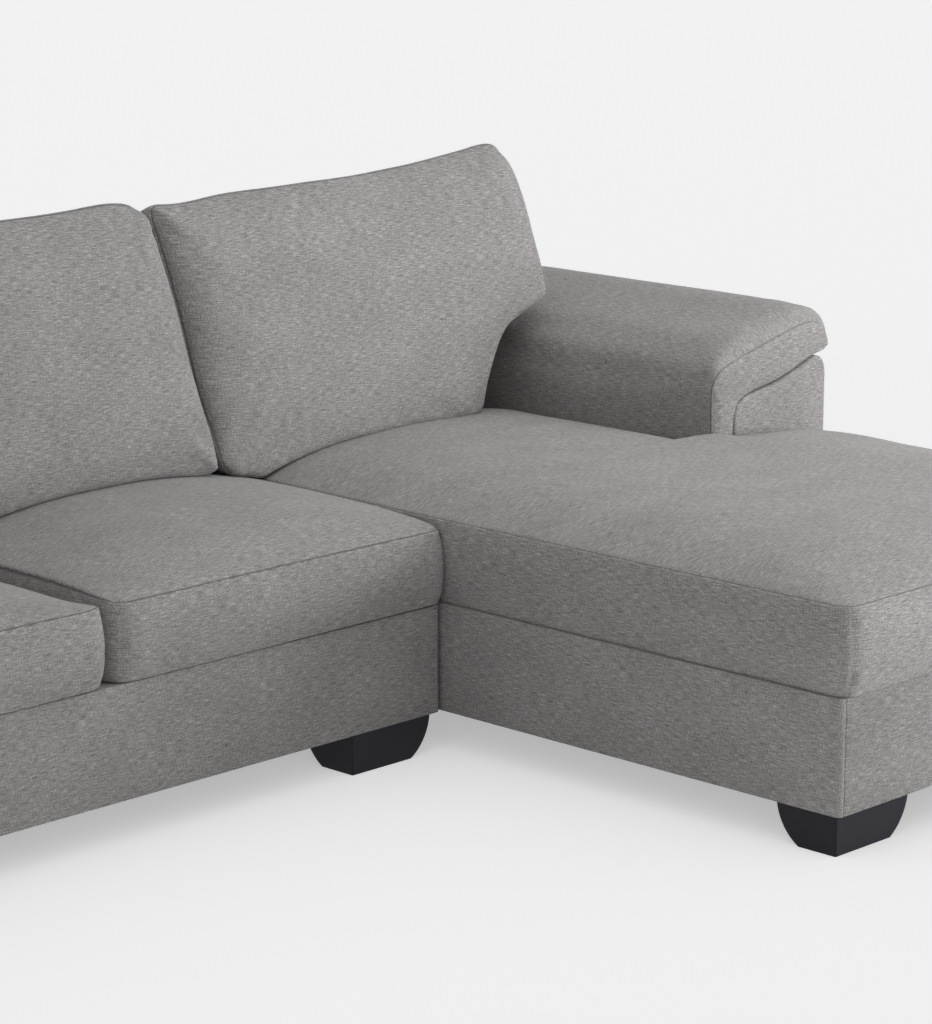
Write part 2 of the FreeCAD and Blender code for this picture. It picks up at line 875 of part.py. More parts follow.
def loft(wires):
    """A solid with ruled sides through closed wires with as many sides each."""
    return Part.makeLoft(wires, True, True)


def eased(at_end, fullness):
    """A share that is at_end where a cushion closes and 1 where it is full."""
    return at_end + (1 - at_end) * fullness


# Share of a cushion's width, share of its fullness there
RISE = ((0, 0.12), (0.03, 0.38), (0.08, 0.6), (0.16, 0.79), (0.28, 0.93), (0.4, 0.99))
FULLNESS = RISE + tuple((1 - share, fullness) for share, fullness in reversed(RISE))
seat_floor = deck_top + d.deck_clearance


def boxed_cushion(low_x, high_x, low_y, high_y, seam, crown, bulge):
    """A seat cushion: upright borders that bow out in front, a seam round the top and a crown."""
    wires = []
    for share, fullness in FULLNESS:
        x = low_x + (high_x - low_x) * share
        inset = d.drawn_in * (1 - fullness)
        y0, y1 = low_y + inset, high_y - inset
        z0, z1 = seat_floor, seat_floor + seam
        corners = [vector(x, y1, z0), vector(x, y0, z0), vector(x, y0, z1), vector(x, y1, z1)]
        middles = [
            None,
            vector(x, y0 - bulge * fullness, (z0 + z1) / 2),
            vector(x, (y0 + y1) / 2, z1 + crown * fullness),
            None,
        ]
        wires.append(closed_wire(corners, middles))
    return loft(wires)


def foam_block(low_x, high_x, low_y, high_y):
    """The foam core inside a seat cushion's cover and wadding."""
    inset = d.foam_inset
    low = vector(low_x + inset, low_y + inset, seat_floor + inset / 2)
    size = vector(high_x - low_x - 2 * inset, high_y - low_y - 2 * inset, d.foam_height)
    return Part.makeBox(size.x, size.y, size.z, low)


seat_back = back_foot - d.cushion_back_gap
seats = {
    "left": (-arm_inner + d.cushion_gap, -junction - d.cushion_gap),
    "middle": (-junction + d.cushion_gap, junction - d.cushion_gap),
}
for label, (low_x, high_x) in seats.items():
    outer = boxed_cushion(low_x, high_x, sofa_front, seat_back, d.seat_seam, d.seat_crown, d.seat_bulge)
    core = foam_block(low_x, high_x, sofa_front, seat_back)
    keep(solid_feature(f"seat_cushion_{label}", outer.cut(core)))
    keep(solid_feature(f"seat_foam_{label}", core))


def chaise_part(left, right, stations):
    """A stretch of the chaise cushion through sections at (y, share of fullness, inset)."""
    wires = []
    for y, fullness, inset in stations:
        x0, x1 = left + inset, right - inset
        z0, z1 = seat_floor, seat_floor + d.chaise_seam
        corners = [vector(x0, y, z0), vector(x1, y, z0), vector(x1, y, z1), vector(x0, y, z1)]
        middles = [
            None,
            None,
            vector((x0 + x1) / 2, y, z1 + d.chaise_crown * fullness),
            None,
        ]
        wires.append(closed_wire(corners, middles))
    return loft(wires)


# The chaise cushion is L-shaped: behind the step it is as wide as the seat, in front it runs across
# the arm as well
chaise_left = junction + d.cushion_gap
chaise_right = half_width - d.foam_inset / 2
chaise_inner = arm_inner - 2 * d.cushion_gap
step = arm_front - d.cushion_back_gap
wide = chaise_part(
    chaise_left,
    chaise_right,
    (
        (front - d.chaise_bulge, 0.1, d.drawn_in),
        (front + 8, 0.3, d.drawn_in / 4),
        (front + 50, 0.55, 0),
        (front + 110, 0.78, 0),
        (front + 200, 0.93, 0),
        ((front + step) / 2, 1, 0),
        (step, 1, 0),
    ),
)
narrow = chaise_part(
    chaise_left,
    chaise_inner,
    (
        (step, 1, 0),
        (seat_back - 200, 1, 0),
        (seat_back - 110, 0.85, 0),
        (seat_back - 50, 0.6, 0),
        (seat_back - 15, 0.35, d.drawn_in / 4),
        (seat_back, 0.12, d.drawn_in),
    ),
)
wide_core = foam_block(chaise_left, chaise_right, front, step)
narrow_core = foam_block(chaise_left, chaise_inner, step - 2 * d.foam_inset, seat_back)
core = wide_core.fuse(narrow_core).removeSplitter()
keep(solid_feature("chaise_cushion", wide.fuse(narrow).cut(core)))
keep(solid_feature("chaise_foam", core))


# Back cushions: leaning pillows that stand on the seat cushions and rest on the back
CREST = 0.07  # share of a pillow's height in its rounded top
END_DEPTH = 0.72  # share of its depth where it closes
END_BULGE = 0.4  # share of its bulge there
EAR_FOOT = 0.93  # share of the body's lower depth in the ear's lower edge


def pillow_section(x, low, top, thick, thin, bulge):
    """A section across a back cushion, between two levels above the deck."""
    gap = d.cushion_back_gap
    low_back, top_back = back_face(low) - gap, back_face(top) - gap
    z0, z1 = deck_top + low, deck_top + top
    lift = (top - low) * CREST
    front_low = vector(x, low_back - thick, z0)
    front_top = vector(x, top_back - thin, z1 - lift)
    rear_top = vector(x, top_back, z1 - lift / 2)
    rear_low = vector(x, low_back, z0)
    mid = (front_low + front_top) / 2 - vector(0, bulge, 0)
    crest = (front_top + rear_top) / 2 + vector(0, 0, lift)
    return closed_wire([rear_low, front_low, front_top, rear_top], [None, mid, crest, None])


def body_section(x, rise, fullness):
    """A section of a back cushion's body, whose top is raised from its plain level."""
    depth = eased(END_DEPTH, fullness)
    return pillow_section(
        x,
        d.back_cushion_low,
        d.back_cushion_top + rise,
        d.back_cushion_thick * depth,
        d.back_cushion_thin * depth,
        d.back_bulge * eased(END_BULGE, fullness),
    )


def back_cushion(low_x, high_x):
    """A plain back cushion."""
    wires = []
    for share, fullness in FULLNESS:
        x = low_x + (high_x - low_x) * share
        drop = d.drawn_in * (1 - fullness)
        wires.append(body_section(x, -drop, fullness))
    return loft(wires)


def pillow_core(low_x, high_x):
    """The fibre-filled inner of a back cushion, a leaning block."""
    inset = d.foam_inset
    low, top = d.back_cushion_low + inset, d.back_cushion_top - 2 * inset
    corners = []
    for level, depth in ((low, d.back_cushion_thick), (top, d.back_cushion_thin)):
        rear = back_face(level) - d.cushion_back_gap - inset
        corners.append((rear, level))
        corners.append((rear - depth * END_DEPTH + 2 * inset, level))
    order = (0, 1, 3, 2)
    points = [vector(low_x + inset, corners[i][0], deck_top + corners[i][1]) for i in order]
    face = Part.Face(Part.makePolygon(points + points[:1]))
    return face.extrude(vector(high_x - low_x - 2 * inset, 0, 0))


split = junction - d.back_cushion_split
half_back = (split + arm_inner) / 2
backs = {
    "left": (-arm_inner + d.cushion_gap, -arm_inner + half_back - d.cushion_gap),
    "middle": (-arm_inner + half_back + d.cushion_gap, split - d.cushion_gap),
}
for label, (low_x, high_x) in backs.items():
    core = pillow_core(low_x, high_x)
    keep(solid_feature(f"back_cushion_{label}", back_cushion(low_x, high_x).cut(core)))
    keep(solid_feature(f"back_fill_{label}", core))

# The right back cushion rises to its outer top corner, which laps over the arm as an ear
seat_middle = d.seat_width
ear_x = seat_middle + d.ear_start
body_left = split + d.cushion_gap
ear_shoulder = d.ear_rise - d.drawn_in
# Each section of the body: where it is, the share of the shoulder's rise in its top, its fullness
body_sections = (
    (body_left, 0, 0.12),
    (body_left + 50, 0.06, 0.56),
    (body_left + 160, 0.12, 0.9),
    (body_left + 420, 0.25, 1),
    (ear_x - 120, 0.7, 1),
    (ear_x, 1, 0.97),
)
body_part = loft([body_section(x, ear_shoulder * share, fullness) for x, share, fullness in body_sections])
over_arm = d.arm_top + d.ear_clearance
ear_end = arm_inner + d.ear_reach
# Each section of the ear: where it is, how far its lower edge hangs below the arm's top line, the
# rise of its top and its fullness
ear_sections = (
    (ear_x, 40, ear_shoulder, 0.97),
    (arm_inner, 12, d.ear_rise, 0.9),
    (ear_end - 70, 0, 0, 0.75),
    (ear_end - 25, -2, -d.ear_fall / 2, 0.55),
    (ear_end, -4, -d.ear_fall, 0.35),
)
wires = []
for x, hang, rise, fullness in ear_sections:
    low, top = over_arm - hang, d.back_cushion_top + rise
    thick, thin = d.back_cushion_thick * fullness * EAR_FOOT, d.back_cushion_thin * fullness
    wires.append(pillow_section(x, low, top, thick, thin, d.back_bulge * fullness / 2))
ear = loft(wires)
core = pillow_core(body_left, ear_x)
keep(solid_feature("back_cushion_right", body_part.fuse(ear).cut(core)))
keep(solid_feature("back_fill_right", core))

doc.recompute()
for item in doc.Objects:
    if "Invalid" in item.State or "Error" in item.State:
        raise RuntimeError(f"{item.Name} failed: {item.State}")
for node in nodes:
    if node.Shape.isNull() or not node.Shape.isValid():
        raise RuntimeError(f"{node.Label} has no valid shape")

os.makedirs("parts", exist_ok=True)
for node in nodes:
    node.Shape.exportStep(f"parts/{node.Label}.step")
print(len(nodes), "sub-parts")
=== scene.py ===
import math

import bpy
import numpy as np
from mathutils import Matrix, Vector, noise


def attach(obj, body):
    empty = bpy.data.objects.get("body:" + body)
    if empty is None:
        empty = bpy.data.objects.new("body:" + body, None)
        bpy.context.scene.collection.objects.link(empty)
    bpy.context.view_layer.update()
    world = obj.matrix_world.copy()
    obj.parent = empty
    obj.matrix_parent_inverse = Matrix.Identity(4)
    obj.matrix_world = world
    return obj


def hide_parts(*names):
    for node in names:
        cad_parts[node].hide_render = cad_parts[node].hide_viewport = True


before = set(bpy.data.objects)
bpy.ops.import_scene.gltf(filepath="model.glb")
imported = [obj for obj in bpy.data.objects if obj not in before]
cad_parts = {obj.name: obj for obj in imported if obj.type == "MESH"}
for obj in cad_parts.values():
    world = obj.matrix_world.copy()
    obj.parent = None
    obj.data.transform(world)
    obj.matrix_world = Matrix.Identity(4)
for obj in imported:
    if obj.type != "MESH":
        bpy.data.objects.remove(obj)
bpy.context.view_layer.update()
scene = bpy.context.scene
scene.view_settings.view_transform = "Standard"

# Camera: a long lens at standing eye height, off the sofa's left front corner. It looks along the
# diagonal of the room and a little down, so that the picture holds the chaise whole and cuts the sofa.
camera_data = bpy.data.cameras.new("camera")
camera_data.sensor_width = 36.0
camera_data.lens = 121.4
camera_data.clip_end = 100.0
camera = bpy.data.objects.new("camera", camera_data)
camera.location = (-3.732, -4.069, 1.740)
camera.rotation_euler = (math.radians(90 - 12.85), 0.0, math.radians(-45.75))
scene.collection.objects.link(camera)
scene.camera = camera


# Studio: a pale seamless floor, a low soft box off the chaise's front right corner, a wide one overhead
# and an even white surround. The floor shows the camera a lifted tone. The soft boxes leave it out, so
# that it stays even, and a second plane under it throws their light back up at the fronts.
FLOOR_WIDTH = 120.0


def linear(hex_colour):
    """The linear RGBA of an sRGB hex colour."""
    channels = [int(hex_colour[i : i + 2], 16) / 255 for i in (1, 3, 5)]
    return tuple(c / 12.92 if c <= 0.04045 else ((c + 0.055) / 1.055) ** 2.4 for c in channels) + (1.0,)


def add(tree, kind, inputs=None, **settings):
    """A node with its sockets set, or linked where the value is a (node, socket name) pair."""
    node = tree.nodes.new(kind)
    for name, value in settings.items():
        setattr(node, name, value)
    for name, value in (inputs or {}).items():
        if isinstance(value, tuple) and isinstance(value[0], bpy.types.Node):
            tree.links.new(value[0].outputs[value[1]], node.inputs[name])
        else:
            node.inputs[name].default_value = value
    return node


def new_material(name):
    """An empty node material and its tree."""
    material = bpy.data.materials.new(name)
    material.use_nodes = True
    material.node_tree.nodes.clear()
    return material, material.node_tree


floor_finish, tree = new_material("matt_white_studio_paper")
paper = add(tree, "ShaderNodeBsdfDiffuse", {"Color": linear("#f2f2f2"), "Roughness": 0.8})
lifted = add(tree, "ShaderNodeEmission", {"Color": linear("#f5f5f5"), "Strength": 4.62})
shown = add(tree, "ShaderNodeMixShader", {"Fac": 0.9, 1: (lifted, "Emission"), 2: (paper, "BSDF")})
path = add(tree, "ShaderNodeLightPath")
rays = {0: (path, "Is Camera Ray"), 1: (path, "Is Glossy Ray")}
seen = add(tree, "ShaderNodeMath", rays, operation="MAXIMUM")
rays = {0: (seen, "Value"), 1: (path, "Is Transmission Ray")}
seen_through = add(tree, "ShaderNodeMath", rays, operation="MAXIMUM")
shaders = {"Fac": (seen_through, "Value"), 1: (paper, "BSDF"), 2: (shown, "Shader")}
choice = add(tree, "ShaderNodeMixShader", shaders)
add(tree, "ShaderNodeOutputMaterial", {"Surface": (choice, "Shader")})


def studio_plane(name, finish, height):
    """A square plane, far wider than the picture."""
    bpy.ops.object.select_all(action="DESELECT")
    bpy.ops.mesh.primitive_plane_add(size=FLOOR_WIDTH, location=(0.0, 0.0, height))
    plane = bpy.context.object
    plane.name = plane.data.name = name
    plane.data.materials.append(finish)
    return plane


floor = studio_plane("studio_floor", floor_finish, 0.0)
floor.visible_diffuse = False
floor.visible_shadow = False

bounce_finish, tree = new_material("matt_white_bounce_paper")
paper = add(tree, "ShaderNodeBsdfDiffuse", {"Color": linear("#f2f2f2"), "Roughness": 0.8})
add(tree, "ShaderNodeOutputMaterial", {"Surface": (paper, "BSDF")})
bounce = studio_plane("studio_floor_bounce", bounce_finish, -0.002)
bounce.visible_camera = False
bounce.visible_glossy = False

world = bpy.data.worlds.new("even_surround")
world.use_nodes = True
world.node_tree.nodes["Background"].inputs["Color"].default_value = (1.0, 1.0, 1.0, 1.0)
world.node_tree.nodes["Background"].inputs["Strength"].default_value = 0.58
scene.world = world

for label, width, height, watts, place, target in (
    ("soft_box", 1.8, 1.2, 58.0, (2.45, -2.45, 1.0), (0.75, -0.35, 0.35)),
    ("overhead_box", 2.0, 2.0, 25.0, (1.3, -0.8, 3.0), (1.3, -0.8, 0.0)),
):
    lamp = bpy.data.lights.new(label, "AREA")
    lamp.shape = "RECTANGLE"
    lamp.size = width
    lamp.size_y = height
    lamp.energy = watts
    lamp_place = bpy.data.objects.new(label, lamp)
    lamp_place.location = place
    lamp_place.rotation_euler = (Vector(target) - Vector(place)).to_track_quat("-Z", "Y").to_euler()
    scene.collection.objects.link(lamp_place)
    unlit = bpy.data.collections.new(f"{label}_leaves_out")
    unlit.objects.link(floor)
    lamp_place.light_linking.receiver_collection = unlit
    unlit.collection_objects[0].light_linking.link_state = "EXCLUDE"


# Seat cushions: two boxed cushions of grey linen over foam and wadding. Each has a crowned top panel,
# a border 134 mm high that bows out in front, and a plain seam between them. They lie loose.
MM = 0.001
END = 0.999  # the points of a lattice that lie on its block's outside are beyond this
FILL_PRESSURE = 3.0
FILL_STEPS = 20


def read_points(piece):
    """The places of a piece's points, in metres."""
    points = np.empty(len(piece.data.vertices) * 3)
    piece.data.vertices.foreach_get("co", points)
    return points.reshape(-1, 3)


def write_points(piece, points):
    """Moves a piece's points."""
    piece.data.vertices.foreach_set("co", np.asarray(points, dtype=np.float32).ravel())
    piece.data.update()


def cut_block(name, cuts, shape):
    """A cube cut into a lattice. shape takes its points, at -1 to 1, and gives their places in mm."""
    bpy.ops.object.select_all(action="DESELECT")
    bpy.ops.mesh.primitive_cube_add(size=2.0)
    piece = bpy.context.object
    piece.name = piece.data.name = name
    bpy.ops.object.mode_set(mode="EDIT")
    bpy.ops.mesh.select_all(action="SELECT")
    bpy.ops.mesh.subdivide(number_cuts=cuts)
    bpy.ops.object.mode_set(mode="OBJECT")
    lattice = np.round(read_points(piece), 5)
    write_points(piece, shape(lattice) * MM)
    return piece, lattice


def crowd(position):
    """Crowds lattice lines towards both ends, so that seams have fine faces beside them."""
    return 0.85 * np.sin(position * math.pi / 2) + 0.15 * position


def round_corners(across, along, half_across, half_along, radius):
    """Rounds the corners of a rectangular plan, and gives the moved places."""
    over = np.stack([np.abs(across) - (half_across - radius), np.abs(along) - (half_along - radius)])
    beyond = np.maximum(over, 0.0)
    length = np.hypot(*beyond)
    shrink = np.where(length > 0, beyond.max(axis=0) / np.maximum(length, 1e-9), 1.0)
    both = (over > 0).all(axis=0)
    new_across = np.where(both, np.sign(across) * (half_across - radius + beyond[0] * shrink), across)
    new_along = np.where(both, np.sign(along) * (half_along - radius + beyond[1] * shrink), along)
    return new_across, new_along


def swell(distance, reach, fullness):
    """A sewn panel's rise from 0 at its seam to 1 at reach."""
    return np.sin(np.clip(distance / reach, 0.0, 1.0) * math.pi / 2) ** fullness


def cloth_layer(mesh):
    """A UV layer for the cloth, in place of the mesh's own."""
    while mesh.uv_layers:
        mesh.uv_layers.remove(mesh.uv_layers[0])
    return mesh.uv_layers.new(name="cloth")


def lay_cloth(piece, lattice, girth=None, run=None):
    """A UV map in metres of cloth: weft along the piece on every side of its block. girth and run are
    the lengths measured on a skin that bends."""
    mesh = piece.data
    points = read_points(piece)
    loops = np.empty(len(mesh.loops), dtype=int)
    mesh.loops.foreach_get("vertex_index", loops)
    starts = np.arange(len(mesh.polygons)) * 4
    corners = lattice[loops[starts[:, None] + np.arange(4)]]
    side = np.repeat(np.abs(corners.mean(axis=1)).argmax(axis=1), 4)
    x, y, z = points[loops].T
    across = np.where(side == 0, y, x)
    up = np.where(side == 2, y, z)
    if girth is not None:
        up = np.where(side == 0, girth[loops], up)
        across = np.where(side == 0, run[loops], across)
    cloth_layer(mesh).data.foreach_set("uv", np.stack([across, up], axis=1).ravel())


def push_out(piece, distances):
    """Moves a piece's points along their normals by distances in mm."""
    normals = np.empty(len(piece.data.vertices) * 3)
    piece.data.vertices.foreach_get("normal", normals)
    write_points(piece, read_points(piece) + normals.reshape(-1, 3) * (distances * MM)[:, None])


def stitch(piece, on_seam, depth):
    """Draws the seam points into the padding and marks them, so that the cloth's material paints shade
    along the seam.
    """
    push_out(piece, on_seam * -depth)
    shade_mark = piece.data.attributes.new("seam", "FLOAT", "POINT")
    shade_mark.data.foreach_set("value", on_seam.astype(np.float32))


def plump(piece, held, reach):
    """Fills the sewn cover with pressure while its seams are held, and limits how far a point moves."""
    rest = read_points(piece)
    group = piece.vertex_groups.new(name="seams")
    group.add([int(i) for i in np.flatnonzero(held)], 1.0, "REPLACE")
    cloth = piece.modifiers.new("Cloth", "CLOTH")
    cloth.settings.use_pressure = True
    cloth.settings.uniform_pressure_force = FILL_PRESSURE
    cloth.settings.vertex_group_mass = "seams"
    cloth.settings.effector_weights.gravity = 0.0
    cloth.collision_settings.use_collision = False
    for step in range(1, FILL_STEPS + 1):
        scene.frame_set(step)
    filled = piece.evaluated_get(bpy.context.evaluated_depsgraph_get())
    moved = np.empty(len(rest) * 3)
    filled.data.vertices.foreach_get("co", moved)
    shift = moved.reshape(-1, 3) - rest
    length = np.linalg.norm(shift, axis=1)
    keep = reach * MM * np.tanh(length / (reach * MM)) / np.maximum(length, 1e-9)
    piece.modifiers.remove(cloth)
    piece.vertex_groups.remove(group)
    scene.frame_set(1)
    write_points(piece, rest + shift * keep[:, None])


def rumple(piece, depth, span):
    """The slight unevenness of wadding under the cloth."""
    waves = np.array([noise.noise(Vector(p) / (span * MM)) for p in read_points(piece)])
    push_out(piece, waves * depth)


def set_stops(node, *stops):
    """Sets a colour ramp's two ends, then any stop between, each by position and sRGB hex colour."""
    elements = node.color_ramp.elements
    for place, (position, colour) in enumerate(stops):
        stop = elements[place] if place < len(elements) else elements.new(position)
        stop.position, stop.color = position, linear(colour)


def grey_linen():
    """Upholstery linen in plain weave, piece-dyed grey. Its uneven yarn gives short pale and dark
    slubs along the weft, crossed by finer ones along the warp, and a dry surface with a faint fuzz."""
    material, tree = new_material("plain_weave_grey_linen")
    cloth = add(tree, "ShaderNodeUVMap", uv_map="cloth")

    def threads(length, width, detail):
        # The yarn is about 0.8 mm thick and is drawn coarser, as thick as it needs to show
        scale = (1000.0 / length, 1000.0 / width, 1.0)
        laid = add(tree, "ShaderNodeMapping", {"Vector": (cloth, "UV"), "Scale": scale})
        return add(
            tree,
            "ShaderNodeTexNoise",
            {"Vector": (laid, "Vector"), "Scale": 1.0, "Detail": detail, "Roughness": 0.6},
            noise_dimensions="2D",
        )

    weft = threads(20.0, 1.3, 1.0)
    warp = threads(1.3, 11.0, 1.0)
    melange = threads(1.7, 1.2, 0.0)
    cloud = threads(140.0, 80.0, 1.0)
    sums = {0: (warp, "Fac"), 1: 0.6, 2: (weft, "Fac")}
    cross = add(tree, "ShaderNodeMath", sums, operation="MULTIPLY_ADD")
    sums = {0: (melange, "Fac"), 1: 0.7, 2: (cross, "Value")}
    fine = add(tree, "ShaderNodeMath", sums, operation="MULTIPLY_ADD")
    sums = {0: (cloud, "Fac"), 1: 0.15, 2: (fine, "Value")}
    uneven = add(tree, "ShaderNodeMath", sums, operation="MULTIPLY_ADD")
    spread = {"Value": (uneven, "Value"), "From Min": 0.68, "From Max": 1.77}
    yarn = add(tree, "ShaderNodeMapRange", spread)
    tone = add(tree, "ShaderNodeValToRGB", {"Fac": (yarn, "Result")})
    set_stops(tone, (0.0, "#5f5e5d"), (1.0, "#c4c1c0"), (0.5, "#8d8b8a"))
    # Painted shade: on the marked seam points the cloth darkens towards #3b3a3a. This stands in for the
    # shade in each seam's groove.
    seam = add(tree, "ShaderNodeAttribute", attribute_name="seam")
    spread = {"Value": (seam, "Fac"), "From Min": 0.55, "From Max": 1.0, "To Max": 0.75}
    painted_groove_shade = add(tree, "ShaderNodeMapRange", spread)
    shades = {"Factor": (painted_groove_shade, "Result"), "A": (tone, "Color"), "B": linear("#3b3a3a")}
    colour = add(tree, "ShaderNodeMix", shades, data_type="RGBA")
    relief = add(tree, "ShaderNodeBump", {"Height": (fine, "Value"), "Strength": 0.35, "Distance": 0.0006})
    linen = add(
        tree,
        "ShaderNodeBsdfPrincipled",
        {
            "Base Color": (colour, "Result"),
            "Roughness": 0.92,
            "Specular IOR Level": 0.25,
            "Sheen Weight": 0.12,
            "Sheen Roughness": 0.45,
            "Normal": (relief, "Normal"),
        },
    )
    add(tree, "ShaderNodeOutputMaterial", {"Surface": (linen, "BSDF")})
    return material


linen = grey_linen()


def finish_cloth(piece, body, node):
    """Smooths the piece, gives it its cloth, and puts it in place of its CAD node."""
    bpy.ops.object.select_all(action="DESELECT")
    piece.select_set(True)
    bpy.context.view_layer.objects.active = piece
    smooth = piece.modifiers.new("Subdivision", "SUBSURF")
    smooth.levels = smooth.render_levels = 1
    bpy.ops.object.modifier_apply(modifier="Subdivision")
    bpy.ops.object.shade_smooth()
    piece.data.materials.clear()
    piece.data.materials.append(linen)
    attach(piece, body)
    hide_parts(node)


SEAT_FLOOR = 262.5
SEAT_SEAM = 396.5
SEAT_CROWN = 54.0
SEAT_FRONT, SEAT_BACK = -15.0, 605.0
SEAT_SLUMP, SLUMP_REACH = 14.0, 110.0
SIDE_REACH, FRONT_REACH, REAR_REACH = 330.0, 230.0, 160.0
FULL = 0.6
LEAN, FRONT_BOW, SIDE_BOW = 6.0, 13.0, 2.4
TUCK, TUCK_FROM = 2.0, 0.7
# Each seat's two sides, and how much of its rise its neighbours hold up there
SEATS = {"left": (-1107.0, -373.0, 0.0), "middle": (-367.0, 367.0, 0.3)}


def seat_height(x, y, low_x, high_x, held):
    """The level of a seat cushion's top panel. held is how much of its rise its neighbours hold up at
    its sides; a cushion that isn't held slumps on its right."""
    half = (high_x - low_x) / 2
    side = half - np.abs(x - (low_x + high_x) / 2)
    front, rear = y - SEAT_FRONT, SEAT_BACK - y
    from_sides = held + (1 - held) * swell(side, SIDE_REACH, 0.85)
    rise = from_sides * swell(front, FRONT_REACH, FULL) * swell(rear, REAR_REACH, FULL)
    slump = np.where(held > 0, 0.0, SEAT_SLUMP) * np.clip(1 - (high_x - x) / SLUMP_REACH, 0.0, 1.0) ** 2
    return SEAT_SEAM + SEAT_CROWN * rise - slump * swell(front, 120.0, 1.0)


def seat_shape(low_x, high_x, held, left_corner, right_corner):
    """The places of a boxed cushion's points between two sides, and the radii of its front corners."""

    def shape(lattice):
        u, v, w = lattice.T
        half_x, half_y = (high_x - low_x) / 2, (SEAT_BACK - SEAT_FRONT) / 2
        middle_x, middle_y = (low_x + high_x) / 2, (SEAT_BACK + SEAT_FRONT) / 2
        across, along = crowd(u) * half_x, crowd(v) * half_y
        level = SEAT_FLOOR + (w + 1) / 2 * (SEAT_SEAM - SEAT_FLOOR)
        rise = seat_height(middle_x + across, middle_y + along, low_x, high_x, held)
        level = np.where(w > END, rise, level)
        corner = np.where(v > 0, left_corner, np.where(u < 0, left_corner, right_corner))
        across, along = round_corners(across, along, half_x, half_y, corner)
        border = (np.abs(u) > END) | (np.abs(v) > END)
        bow = 1 - w**2
        tuck = TUCK * np.clip(-w - TUCK_FROM, 0, 1) / 0.3
        forward = np.clip(-along / half_y, 0, 1) ** 3
        out_y = np.where(border, forward * (LEAN + FRONT_BOW * bow) - tuck, 0.0)
        out_x = np.where(border, SIDE_BOW * bow - tuck, 0.0)
        x = middle_x + across + np.sign(u) * out_x * (np.abs(u) > END)
        y = middle_y + along - out_y * (v < 0)
        return np.stack([x, y, level], axis=1)

    return shape


def seat_seams(lattice):
    """The points on the seams round a boxed cushion's top and bottom."""
    rim = (np.abs(lattice[:, 0]) > END) | (np.abs(lattice[:, 1]) > END)
    return rim & (np.abs(lattice[:, 2]) > END)


for label, left_corner, right_corner in (("left", 46.0, 46.0), ("middle", 46.0, 20.0)):
    shape = seat_shape(*SEATS[label], left_corner, right_corner)
    cushion, lattice = cut_block(f"seat_cushion_{label}_linen", 39, shape)
    seams = seat_seams(lattice)
    plump(cushion, seams | (lattice[:, 2] < -END), 7.0)
    stitch(cushion, seams, 2.6)
    rumple(cushion, 1.3, 120.0)
    lay_cloth(cushion, lattice)
    finish_cloth(cushion, f"seat_{label}", f"seat_cushion_{label}")


# Chaise cushion: one L-shaped boxed cushion. In front of the arm it runs to the chaise's outer side,
# behind that it is as wide as the seat. Its border is 149 mm high and its top panel is crowned.
CHAISE_SEAM = 411.5
CHAISE_CROWN = 41.0
CHAISE_LEFT, CHAISE_RIGHT, CHAISE_INNER = 373.0, 1415.0, 1104.0
CHAISE_FRONT, CHAISE_CORNER = -893.0, 30.0
STEP, STEP_EASE, STEP_REACH = 3.0, 9.0, 150.0
ARM_HOLD = 0.34
CHAISE_TUCK, CHAISE_BOW = 5.0, 12.0


def chaise_right(y):
    """The chaise cushion's right side: it steps in behind the arm's front."""
    share = np.clip((y - (STEP - STEP_EASE)) / STEP_EASE, 0.0, 1.0)
    return CHAISE_RIGHT + (CHAISE_INNER - CHAISE_RIGHT) * (3 * share**2 - 2 * share**3)


def chaise_height(x, y, edge_right):
    """The level of the chaise cushion's top panel. The arm holds its side up behind the step."""
    left, right = x - CHAISE_LEFT, edge_right - x
    from_step = np.where(x > CHAISE_INNER, np.abs(STEP - y), 10 * STEP_REACH)
    held = np.where(y > STEP, ARM_HOLD, 0.0)
    rise = (
        swell(left, SIDE_REACH, FULL)
        * (held + (1 - held) * swell(right, SIDE_REACH, FULL))
        * swell(y - CHAISE_FRONT, 260.0, FULL)
        * swell(SEAT_BACK - y, REAR_REACH, FULL)
        * swell(from_step, STEP_REACH, 0.5)
    )
    return CHAISE_SEAM + CHAISE_CROWN * rise


def chaise_shape(lattice):
    """The places of the chaise cushion's points."""
    u, v, w = lattice.T
    half_y = (SEAT_BACK - CHAISE_FRONT) / 2
    middle_y = (SEAT_BACK + CHAISE_FRONT) / 2
    # The lattice lines crowd at both ends and round the step
    spread = crowd(v)
    step_at = (STEP - 5.0 - middle_y) / half_y
    spread = spread - 0.055 * np.sin(np.clip((spread - step_at) / 0.28, -1, 1) * math.pi)
    along = spread * half_y
    y = middle_y + along
    edge_right = chaise_right(y)
    half_x = (edge_right - CHAISE_LEFT) / 2
    middle_x = (edge_right + CHAISE_LEFT) / 2
    across = crowd(u) * half_x
    level = SEAT_FLOOR + (w + 1) / 2 * (CHAISE_SEAM - SEAT_FLOOR)
    rise = chaise_height(middle_x + across, y, edge_right)
    level = np.where(w > END, rise, level)
    across, along = round_corners(across, along, half_x, half_y, CHAISE_CORNER)
    border = (np.abs(u) > END) | (np.abs(v) > END)
    bow = 1 - w**2
    tuck = CHAISE_TUCK * np.clip(-w - TUCK_FROM, 0, 1) / 0.3
    free = np.clip((STEP - 30.0 - y) / 60.0, 0.0, 1.0)
    out_x = np.where(border & (np.abs(u) > END), (2.0 + 8.0 * free) * bow - tuck, 0.0)
    forward = np.clip(-along / half_y, 0, 1) ** 12
    out_y = np.where(border & (v < 0), forward * (CHAISE_BOW * bow) - tuck, 0.0)
    x = middle_x + across + np.sign(u) * out_x
    y = middle_y + along - out_y * (v < -END)
    return np.stack([x, y, level], axis=1)


cushion, lattice = cut_block("chaise_cushion_linen", 59, chaise_shape)
seams = seat_seams(lattice)
plump(cushion, seams | (lattice[:, 2] < -END), 7.0)
stitch(cushion, seams, 2.8)
rumple(cushion, 1.4, 130.0)
lay_cloth(cushion, lattice)
finish_cloth(cushion, "chaise_seat", "chaise_cushion")


